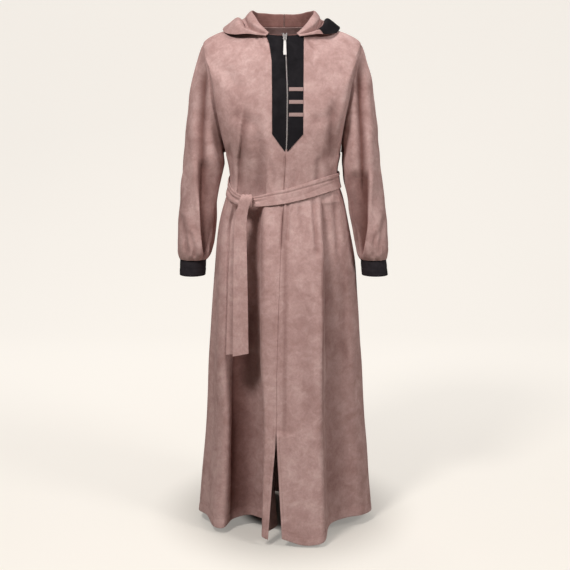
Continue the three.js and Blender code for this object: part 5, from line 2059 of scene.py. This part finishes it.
def run_along(
    name: str,
    paths: list[tuple[Grid, Grid]],
    tree: bpy.types.NodeTree,
    sizes: dict[str, float],
) -> bpy.types.Object:
    """Runs a Geometry Nodes tree along some paths and keeps its result as a plain mesh.

    Args:
        name: The piece's name.
        paths: Points in millimetres with the way that each faces.
        tree: The tree that repeats a shape.
        sizes: The values of its named inputs.

    Returns:
        The finished object.
    """
    points = np.concatenate([p for p, _ in paths]) * MM
    normals = np.concatenate([n for _, n in paths])
    edges, start = [], 0
    for path, _ in paths:
        edges += [(start + k, start + k + 1) for k in range(len(path) - 1)]
        start += len(path)
    mesh = bpy.data.meshes.new(f"{name}_path")
    mesh.from_pydata(points.tolist(), edges, [])
    outward = mesh.attributes.new("outward", "FLOAT_VECTOR", "POINT")
    outward.data.foreach_set("vector", normals.astype(np.float32).ravel())
    guide = bpy.data.objects.new(f"{name}_path", mesh)
    bpy.context.scene.collection.objects.link(guide)
    modifier = guide.modifiers.new("along", "NODES")
    modifier.node_group = tree
    for item in tree.interface.items_tree:
        if item.in_out == "INPUT" and item.name in sizes:
            modifier[item.identifier] = sizes[item.name]
    evaluated = guide.evaluated_get(bpy.context.evaluated_depsgraph_get())
    made = bpy.data.meshes.new_from_object(evaluated)
    guide.modifiers.remove(modifier)
    bpy.data.objects.remove(guide)
    made.name = name
    piece = bpy.data.objects.new(name, made)
    bpy.context.scene.collection.objects.link(piece)
    return piece


# ------------------------------------------------------------------ slider and pull tab
@dataclass
class ZipHardware:
    """The zip's slider and its pull tab, with softened edges."""

    finishes: Finishes
    edge: float = 0.35

    def softened(
        self, node: str, name: str, body: str, finish: bpy.types.Material
    ) -> bpy.types.Object:
        """A copy of a node whose edges are rounded.

        Args:
            node: The node that is copied and replaced.
            name: The name of the new piece.
            body: The body that it rides on.
            finish: Its metal.

        Returns:
            The piece.
        """
        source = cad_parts[node]
        mesh = source.data.copy()
        mesh.transform(source.matrix_world)
        mesh.materials.clear()
        piece = bpy.data.objects.new(name, mesh)
        bpy.context.scene.collection.objects.link(piece)
        weld = piece.modifiers.new("weld", "WELD")
        weld.merge_threshold = 1e-5
        flat = piece.modifiers.new("flat", "DECIMATE")
        flat.decimate_type = "DISSOLVE"
        flat.angle_limit = math.radians(2)
        bevel = piece.modifiers.new("bevel", "BEVEL")
        bevel.width = self.edge * MM
        bevel.segments = 3
        bevel.angle_limit = math.radians(25)
        bevel.harden_normals = False
        made = bpy.data.meshes.new_from_object(
            piece.evaluated_get(bpy.context.evaluated_depsgraph_get())
        )
        piece.modifiers.clear()
        piece.data = made
        for face in made.polygons:
            face.use_smooth = False
        return dress(piece, finish, (node,), body=body)

    def build(self) -> None:
        """Makes the slider and the pull tab."""
        self.softened("zip_slider", "slider_metal", BODY, self.finishes.slider)
        self.softened("zip_pull", "pull_metal", "zip_pull", self.finishes.silver)


# ------------------------------------------------------------------ the tie belt
BELT = Table(
    "angle z width",
    [
        (-36, -468, 27),
        (-24, -466, 29),
        (-14, -461, 34),
        (-3, -455, 38),
        (20, -437, 42),
        (50, -421, 43),
        (90, -415, 42),
        (135, -414, 43),
        (180, -416, 43),
        (225, -420, 43),
        (262, -429, 41),
        (282, -441, 36),
        (304, -458, 30),
    ],
)
TAIL_HEADING = "z left right y"
FRONT_TAIL = Table(
    TAIL_HEADING,
    [
        (-446, -114, -88, -115.8),
        (-449, -117, -86, -123.8),
        (-460, -121, -86, -129.8),
        (-486, -127, -96, -130.2),
        (-530, -135, -101, -132.5),
        (-640, -138, -100, -140),
        (-770, -140, -98, -147),
        (-889, -141, -97, -152),
    ],
)
BACK_TAIL = Table(
    TAIL_HEADING,
    [
        (-485, -129, -103, -121.3),
        (-530, -144, -110, -126.5),
        (-640, -151, -114, -132),
        (-770, -156, -117, -138),
        (-886, -160, -119, -143),
    ],
)


@dataclass
class TieBelt:
    """The belt round the waist with its knot and two tails.

    Attributes:
        wall: The folded cloth's thickness.
        out: The belt's face from the body.
        shade: How much shade is painted into the belt's colour all over.
        columns: Columns round the waist.
        knot: The knot's middle.
        knot_size: Its width, depth and height.
        tail_bow: How far a tail bows out between its edges.
        wrinkles: Angles where the belt is drawn into the knot, how far round that reaches, and
            the place, height and width of each wrinkle.
    """

    form: BodyForm
    finishes: Finishes
    wall: float = 2.6
    out: float = 5.4
    shade: float = 0.1
    columns: int = 390
    knot: tuple[float, float, float] = (-102.0, -118.5, -469.0)
    knot_size: tuple[float, float, float] = (34.0, 18.6, 32.0)
    tail_bow: float = 2.0
    wrinkles: tuple[tuple[float, float, tuple[tuple[float, float, float], ...]], ...] = (
        (-36.0, 15.0, ((-0.02, -3.4, 0.08), (-0.24, 1.4, 0.09), (0.2, 1.6, 0.09))),
        (296.0, 24.0, ((-0.05, -2.6, 0.1), (0.2, 1.5, 0.1), (-0.3, 1.2, 0.1))),
    )

    def band(self) -> bpy.types.Object:
        """Makes the ring round the waist."""
        rows = BELT.values
        wrapped = np.concatenate([rows[-1:], rows, rows[:2]])
        wrapped[0, 0] -= 360
        wrapped[-2:, 0] += 360
        ring = Table("angle z width", wrapped.tolist())
        shares = np.linspace(-0.5, 0.5, 23)
        grid = np.zeros((len(shares), self.columns, 3))
        for k in range(self.columns):
            row = ring.at(1 + k * len(BELT) / self.columns)
            for i, share in enumerate(shares):
                z = row["z"] + row["width"] * share
                point, normal = self.form.at(self.form.level_of(z), row["angle"])
                flat = unit(normal * np.array([1, 1, 0]))
                grid[i, k] = point + flat * self.out
                grid[i, k, 2] = z
        normals = grid_normals(grid, True)
        cloth = Cloth(grid, normals, loop=True)
        # Painted shade all over the belt.
        cloth.dark += self.shade
        angle = np.array([ring.at(1 + k * len(BELT) / self.columns)["angle"]
                          for k in range(self.columns)])[None, :]
        up = shares[:, None]
        fold = 0.24 - 0.05 * np.sin(np.radians(angle) * 2)
        amount = -1.3 * np.exp(-(((up - fold) / 0.04) ** 2))
        amount += 0.8 * np.exp(-(((up - fold - 0.12) / 0.08) ** 2))
        for middle, spread, lines in self.wrinkles:
            near = np.exp(-(((angle - middle) / spread) ** 2))
            for place, depth, width in lines:
                amount += depth * near * np.exp(-(((up - place) / width) ** 2))
        crossing = up + 0.12 + 0.1 * np.cos(np.radians(angle) * 3)
        where = np.clip(np.sin(np.radians(angle) * 1.5 + 0.8), 0, 1)
        amount += -0.7 * np.exp(-((crossing / 0.05) ** 2)) * where
        amount += 0.7 * waves(grid, (60.0, 33.0), 61)
        cloth.push(amount)
        cloth.roll_all(1.3)
        piece = cloth.solid("belt_band", self.wall)
        return dress(piece, self.finishes.rose, ("belt",))

    def knot_piece(self) -> bpy.types.Object:
        """Makes the knot: cloth wound on itself, with its folds drawn in."""
        rows, columns = 56, 96
        turn = np.arange(columns) / columns * 2 * math.pi
        lift = np.linspace(math.pi / 2 - 0.02, -math.pi / 2 + 0.02, rows)

        def full(value: Grid) -> Grid:
            """Fuller than a circle."""
            return np.sign(value) * np.abs(value) ** 0.7

        wide, deep, high = self.knot_size
        x = full(np.cos(lift))[:, None] * full(np.cos(turn))[None, :] * wide / 2
        y = full(np.cos(lift))[:, None] * full(np.sin(turn))[None, :] * deep / 2
        z = np.repeat(full(np.sin(lift))[:, None], columns, 1) * high / 2
        points = np.stack([x, y, z], -1)
        grooves = np.sin((points[..., 0] * 0.7 + points[..., 2] * 0.5) / 2.2)
        pinch = 0.94 + 0.035 * grooves + 0.015 * waves(points, (14.0, 9.0), 71)
        points = points * pinch[..., None] + np.array(self.knot)
        ends = np.array([points[0].mean(0), points[-1].mean(0)])
        vertices = np.concatenate([points.reshape(-1, 3), ends]) * MM
        index = np.arange(rows * columns).reshape(rows, columns)
        index = np.concatenate([index, index[:, :1]], 1)
        quads = np.stack(
            [index[:-1, :-1], index[1:, :-1], index[1:, 1:], index[:-1, 1:]], -1
        ).reshape(-1, 4)
        faces = quads.tolist()
        top, low = rows * columns, rows * columns + 1
        faces += [[top, index[0, k], index[0, k + 1]] for k in range(columns)]
        faces += [[low, index[-1, k + 1], index[-1, k]] for k in range(columns)]
        mesh = bpy.data.meshes.new("belt_knot_cloth")
        mesh.from_pydata(vertices.tolist(), [], [[int(v) for v in face] for face in faces])
        for face in mesh.polygons:
            face.use_smooth = True
        piece = bpy.data.objects.new("belt_knot_cloth", mesh)
        bpy.context.scene.collection.objects.link(piece)
        return dress(piece, self.finishes.rose, ("belt_knot",))

    def tail(self, name: str, table: Table, slant: float,
             folds: tuple[tuple[float, float], ...]) -> bpy.types.Object:
        """Makes a hanging tail.

        Args:
            name: The node that it stands for.
            table: Its edges and its height, row by row.
            slant: How much higher its right corner hangs than its left.
            folds: Places across it, with the depth of the fold that runs down there.

        Returns:
            The piece.
        """
        rows = []
        count = (len(table) - 1) * 22
        across = np.linspace(1, 0, 19)
        for k in range(count + 1):
            row = table.at(k / 22)
            down = k / count
            x = row["left"] + (row["right"] - row["left"]) * across
            bow = self.tail_bow * np.sin(across * math.pi)
            z = row["z"] + slant * across * down**8
            rows.append(np.stack([x, row["y"] - bow, z], -1))
        points = np.array(rows)
        cloth = Cloth(points, grid_normals(points))
        down = np.linspace(0, 1, count + 1)[:, None]
        amount = np.zeros(points.shape[:2])
        for place, depth in folds:
            line = place + 0.05 * np.sin(down * 7 + place * 9)
            strength = depth * np.exp(-(((across[None, :] - line) / 0.07) ** 2))
            amount -= strength * (0.35 + 0.65 * np.exp(-((down / 0.35) ** 2)))
        amount += 0.9 * waves(points, (110.0, 60.0), 81) * np.clip(down * 5, 0, 1)
        cloth.push(amount)
        cloth.roll_all(1.2)
        piece = cloth.solid(f"{name}_cloth", self.wall)
        return dress(piece, self.finishes.rose, (name,))

    def build(self) -> None:
        """Makes the belt's pieces."""
        self.band()
        self.knot_piece()
        self.tail(
            "belt_tail_front", FRONT_TAIL, 8.0,
            ((0.3, 1.6), (0.68, 1.2)),
        )
        self.tail(
            "belt_tail_back", BACK_TAIL, 4.0,
            ((0.45, 1.4),),
        )


# ------------------------------------------------------------------ pocket and stitching
@dataclass
class Pocket:
    """The lip of the pocket in the right side, just under the belt."""

    front: FrontSurface
    finishes: Finishes
    path: tuple[tuple[float, float], ...] = ((147, -452), (152, -476), (159, -502), (166, -524))

    def build(self) -> bpy.types.Object:
        """Makes the lip as a narrow folded welt."""
        stops = through([np.array([x, 0, z]) for x, z in self.path], False, [12] * 3)
        rows = []
        for x, _, z in stops:
            rows.append([(x + offset, z - offset * 0.25) for offset in (3.2, 2.1, 1.0, 0.0)])
        cloth = self.front.lay(rows, 1.5)
        cloth.roll_all(1.2)
        piece = cloth.solid("pocket_lip", 1.6)
        return dress(piece, self.finishes.rose)


# Columns of the hood's cloth that its inner stitches follow, and the row where they start.
HOOD_STITCH_COLUMNS, HOOD_STITCH_START = (2, 4), 20


@dataclass
class StitchWork:
    """All rows of visible stitches, in the two threads."""

    panels: BodyPanels
    front: FrontSurface
    placket: Placket
    hood: dict[Side, Cloth]
    finishes: Finishes
    thread: float = 0.7

    def down_edge(self, name: str, column: int, inset: float, start: float) -> tuple[Grid, Grid]:
        """A row of stitches down the edge of a panel, from a level to the hem."""
        cloth = self.panels.cloth[name]
        rows = np.flatnonzero(self.panels.form.positions >= start)
        way = 1 if column == 0 else -1
        edge, inside = cloth.points[rows, column], cloth.points[rows, column + way * 2]
        aside = unit(inside - edge)
        normals = cloth.normals[rows, column + way]
        return edge + aside * inset + normals * 0.25, normals

    def hem_row(self, name: str) -> tuple[Grid, Grid]:
        """The row of stitches that holds the turned hem."""
        cloth = self.panels.cloth[name]
        down = np.linalg.norm(np.diff(cloth.points, axis=0), axis=-1)
        to_edge = np.pad(np.cumsum(down[::-1], axis=0)[::-1], ((0, 1), (0, 0)))
        row = np.argmin(np.abs(to_edge - self.panels.hem), axis=0)
        columns = np.arange(cloth.points.shape[1])
        normals = cloth.normals[row, columns]
        return cloth.points[row, columns] + normals * 0.15, normals

    def neck_rows(self) -> list[tuple[Grid, Grid]]:
        """Two rows round the neck under the hood's seam."""
        rows = []
        for name in ("left", "back", "right"):
            cloth = self.panels.cloth[name]
            for row in (3, 6):
                rows.append((cloth.points[row] + cloth.normals[row] * 0.25, cloth.normals[row]))
        return rows

    def hood_rows(self) -> list[tuple[Grid, Grid]]:
        """Two rows inside the neck, beside the hood's seam."""
        rows = []
        for side, cloth in self.hood.items():
            for column in HOOD_STITCH_COLUMNS:
                place = column if side is Side.RIGHT else -1 - column
                points = cloth.points[HOOD_STITCH_START:, place]
                normals = cloth.normals[HOOD_STITCH_START:, place]
                rows.append((points + normals * 0.25, normals))
        return rows

    def placket_rows(self) -> list[tuple[Grid, Grid]]:
        """Rows just inside the placket's outer edges."""
        rows = []
        for side in Side:
            places = []
            for z in np.linspace(-34, -327, 90):
                sizes = self.placket.at(float(z))
                edge = sizes["left"] if side is Side.LEFT else sizes["right"]
                places.append((edge - side.value * 2.2, float(z)))
            found = [self.front.at(x, z) for x, z in places]
            normals = np.array([n for _, n in found])
            rows.append((np.array([p for p, _ in found]) + normals * 2.0, normals))
        return rows

    def cuff_rows(self) -> list[tuple[Grid, Grid]]:
        """Two rows round each cuff."""
        rows = []
        for side in Side:
            for share in (0.08, 0.9):
                ring = tube_ring(CUFFS[side].at(share), 90, side)
                centre = ring.mean(0)
                normals = unit(ring - centre)
                ring = np.concatenate([ring, ring[:1]])
                normals = np.concatenate([normals, normals[:1]])
                rows.append((ring + normals * 0.3, normals))
        return rows

    def build(self) -> None:
        """Makes the rose and the black stitches."""
        rose = [self.hem_row(name) for name in ("left", "back", "right")]
        rose += [self.down_edge("left", 0, 8.0, SLIT_TOP - 0.1)]
        rose += [self.down_edge("right", -1, 8.0, SLIT_TOP - 0.1)]
        rose += self.neck_rows() + self.hood_rows()
        black = self.placket_rows() + self.cuff_rows()
        sizes = {"Pitch": 3.2 * MM, "Stitch": 2.4 * MM, "Thread": self.thread * MM}
        for name, rows, finish, slot in (
            ("rose_stitches", rose, self.finishes.rose_thread, "rose_suede"),
            ("black_stitches", black, self.finishes.black_thread, "black_cloth"),
        ):
            piece = run_along(name, rows, stitch_tree(f"{name}_row", finish), sizes)
            dress(piece, finish)


# ------------------------------------------------------------------ the studio
@dataclass(frozen=True)
class Lamp:
    """One soft round light: its place and size in metres, its power in watts and its tint."""

    name: str
    place: tuple[float, float, float]
    size: float
    power: float
    tint: tuple[float, float, float] = (1.0, 0.985, 0.97)


LAMPS = (
    Lamp("key", (-1.12, -2.1, 1.85), 0.7, 90.0),
    Lamp("fill", (2.6, -2.2, 1.5), 1.2, 68.0),
    Lamp("top", (0.2, -0.3, 2.8), 1.2, 14.0, (1.0, 0.98, 0.97)),
    Lamp("back", (-0.9, 2.5, 1.7), 1.4, 22.0),
)


@dataclass
class Studio:
    """A plain pale floor that sweeps up behind, soft lights and the camera.

    Lengths are in metres. The glow is what the camera sees of the paper beside its own light.

    Attributes:
        floor: Height of the floor.
        reach: How far the paper runs to each side and to the front.
        bend_start: Where the floor starts to rise.
        bend: Radius of the rise.
        bend_steps: Flat strips in the rise.
        wall: Where the upright part stands.
        wall_top: Its height above the floor.
        eye: The camera's place.
        down: Degrees by which it looks down.
        focal: Its focal length in pixels.
        image: The image's width in pixels.
        sensor: The sensor's width in millimetres.
        sight: The farthest that it sees.
        aim: Where the lights look.
        paper: The two tints that the paper drifts between.
        far: Where the floor's glow starts and ends its change to the wall's.
        floor_glow: The floor's glow.
        wall_glow: The wall's glow.
        painted_shadow_reach: Distances from the foot's middle between which the glow comes back,
            the painted shadow round the foot.
        painted_shadow_glow: The share of the glow that is left inside them, which sets how dark the
            painted shadow is.
        painted_hem_shadow_reach: Distances between which it comes back from nothing, a painted dark
            patch under the hem.
        painted_shadow_middle: How far back the middle of the painted shadow lies.
        painted_shadow_narrow: The share that counts of a distance from front to back, in the
            painted shadow.
        sky: Tint of the even light from all sides.
        sky_power: Its strength.
    """

    floor: float = -1.405
    reach: float = 9.0
    bend_start: float = 2.6
    bend: float = 2.2
    bend_steps: int = 24
    wall: float = 4.8
    wall_top: float = 7.0
    eye: tuple[float, float, float] = (0.0027, -3.6, -0.10)
    down: float = 9.7
    focal: float = 1289.0
    image: float = 570.0
    sensor: float = 36.0
    sight: float = 60
    aim: tuple[float, float, float] = (0.0, 0.0, -0.6)
    paper: tuple[tuple[int, int, int], tuple[int, int, int]] = ((164, 159, 151), (168, 163, 156))
    far: tuple[float, float] = (-0.6, 2.4)
    floor_glow: tuple[float, float, float, float] = (0.585, 0.555, 0.515, 1.0)
    wall_glow: tuple[float, float, float, float] = (0.76, 0.725, 0.68, 1.0)
    painted_shadow_reach: tuple[float, float] = (0.17, 0.42)
    painted_shadow_glow: float = 0.42
    painted_hem_shadow_reach: tuple[float, float] = (0.1, 0.15)
    painted_shadow_middle: float = 0.08
    painted_shadow_narrow: float = 0.75
    sky: tuple[float, float, float, float] = (1.0, 0.965, 0.925, 1)
    sky_power: float = 0.1

    def ramp(self, t: Tree, value: bpy.types.NodeSocket, ends: tuple[float, float],
             low: float = 0.0) -> bpy.types.NodeSocket:
        """A smooth rise from low to 1 while a value goes from one end to the other."""
        node = t.add("ShaderNodeMapRange", interpolation_type="SMOOTHSTEP")
        node.inputs["From Min"].default_value = ends[0]
        node.inputs["From Max"].default_value = ends[1]
        node.inputs["To Min"].default_value = low
        t.link(value, node.inputs["Value"])
        return node.outputs[0]

    def product(self, t: Tree, first: bpy.types.NodeSocket,
                second: bpy.types.NodeSocket) -> bpy.types.NodeSocket:
        """Two values multiplied."""
        node = t.add("ShaderNodeMath", operation="MULTIPLY")
        t.link(first, node.inputs[0])
        t.link(second, node.inputs[1])
        return node.outputs[0]

    def blend(self, t: Tree, factor: bpy.types.NodeSocket,
              first: tuple[float, float, float, float],
              second: tuple[float, float, float, float] | bpy.types.NodeSocket,
              ) -> bpy.types.NodeSocket:
        """A colour between two, of which the second may come from another node."""
        node = t.add("ShaderNodeMix", data_type="RGBA")
        node.inputs[6].default_value = first
        if isinstance(second, bpy.types.NodeSocket):
            t.link(second, node.inputs[7])
        else:
            node.inputs[7].default_value = second
        t.link(factor, node.inputs["Factor"])
        return node.outputs[2]

    def paper_material(self) -> bpy.types.Material:
        """Makes the paper, which glows for the camera, with a painted shadow where the glow falls
        away round the garment's foot.
        """
        material = bpy.data.materials.new("studio_paper")
        material.use_nodes = True
        shader = material.node_tree.nodes["Principled BSDF"]
        t = Tree(material.node_tree)
        place = t.add("ShaderNodeTexCoord")
        noise = t.add("ShaderNodeTexNoise")
        noise.inputs["Scale"].default_value = 1.3
        t.link(place.outputs["Object"], noise.inputs["Vector"])
        tints = [colour(*tint) for tint in self.paper]
        t.link(self.blend(t, noise.outputs["Fac"], *tints), shader.inputs["Base Color"])
        parts = t.add("ShaderNodeSeparateXYZ")
        t.link(place.outputs["Object"], parts.inputs[0])
        height = self.ramp(t, parts.outputs["Y"], self.far)
        glow = self.blend(t, height, self.floor_glow, self.wall_glow)
        level = t.add("ShaderNodeCombineXYZ")
        t.link(parts.outputs["X"], level.inputs["X"])
        behind = t.add("ShaderNodeMapRange", clamp=False)
        behind.inputs["From Min"].default_value = self.painted_shadow_middle
        behind.inputs["From Max"].default_value = self.painted_shadow_middle + 1
        behind.inputs["To Max"].default_value = self.painted_shadow_narrow
        t.link(parts.outputs["Y"], behind.inputs["Value"])
        t.link(behind.outputs[0], level.inputs["Y"])
        away = t.add("ShaderNodeVectorMath", operation="LENGTH")
        t.link(level.outputs[0], away.inputs[0])
        # Painted shadow: the glow is taken away round the garment's foot and under its hem.
        foot = self.ramp(t, away.outputs["Value"], self.painted_shadow_reach, self.painted_shadow_glow)
        under = self.ramp(t, away.outputs["Value"], self.painted_hem_shadow_reach)
        seen = t.add("ShaderNodeLightPath")
        shown = self.product(t, seen.outputs["Is Camera Ray"], self.product(t, foot, under))
        only = self.blend(t, shown, (0.0, 0.0, 0.0, 1.0), glow)
        t.link(only, shader.inputs["Emission Color"])
        shader.inputs["Emission Strength"].default_value = 1.0
        shader.inputs["Roughness"].default_value = 1.0
        shader.inputs["Specular IOR Level"].default_value = 0.0
        return material

    def sweep(self) -> None:
        """Makes the floor and the backdrop as one curved sheet."""
        profile = [(-self.reach, 0.0), (self.bend_start, 0.0)]
        for k in range(1, self.bend_steps + 1):
            turn = k / self.bend_steps * math.pi / 2
            rise = self.bend * (1 - math.cos(turn))
            profile.append((self.bend_start + self.bend * math.sin(turn), rise))
        profile.append((self.wall, self.wall_top))
        ends = (-self.reach, self.reach)
        vertices = [(x, y, self.floor + z) for y, z in profile for x in ends]
        faces = [(2 * k, 2 * k + 1, 2 * k + 3, 2 * k + 2) for k in range(len(profile) - 1)]
        mesh = bpy.data.meshes.new("studio_sweep")
        mesh.from_pydata(vertices, [], faces)
        for face in mesh.polygons:
            face.use_smooth = True
        sweep = bpy.data.objects.new("studio_sweep", mesh)
        bpy.context.scene.collection.objects.link(sweep)
        mesh.materials.append(self.paper_material())

    def light(self, lamp: Lamp) -> None:
        """Sets one soft light that looks at the garment's middle."""
        data = bpy.data.lights.new(lamp.name, "AREA")
        data.shape = "DISK"
        data.size = lamp.size
        data.energy = lamp.power
        data.color = lamp.tint
        light = bpy.data.objects.new(lamp.name, data)
        light.location = lamp.place
        way = Vector(self.aim) - Vector(lamp.place)
        light.rotation_euler = way.to_track_quat("-Z", "Y").to_euler()
        bpy.context.scene.collection.objects.link(light)

    def build(self) -> None:
        """Makes the sweep, the lights, the world and the camera."""
        scene = bpy.context.scene
        self.sweep()
        for lamp in LAMPS:
            self.light(lamp)
        world = bpy.data.worlds.new("studio_world")
        world.use_nodes = True
        background = world.node_tree.nodes["Background"]
        background.inputs["Color"].default_value = self.sky
        background.inputs["Strength"].default_value = self.sky_power
        scene.world = world
        scene.view_settings.view_transform = "Standard"
        data = bpy.data.cameras.new("camera")
        data.sensor_width = self.sensor
        data.lens = self.focal / self.image * self.sensor
        data.clip_end = self.sight
        camera = bpy.data.objects.new("camera", data)
        camera.location = self.eye
        camera.rotation_euler = (math.radians(90 - self.down), 0, 0)
        scene.collection.objects.link(camera)
        scene.camera = camera


def main() -> None:
    """Builds the garment's pieces in order, then the studio."""
    Studio().build()
    finishes = Finishes()
    form = BodyForm()
    log.info("form: %d sections", len(form.positions))
    panels = BodyPanels(form, finishes)
    panels.build()
    front = FrontSurface(panels)
    Sleeves(form, finishes).build()
    hood = Hood(form, finishes).build()
    placket = Placket(front, finishes, form)
    placket.build()
    ZipHardware(finishes).build()
    TieBelt(form, finishes).build()
    Pocket(front, finishes).build()
    StitchWork(panels, front, placket, hood, finishes).build()


if __name__ == "__main__":
    main()
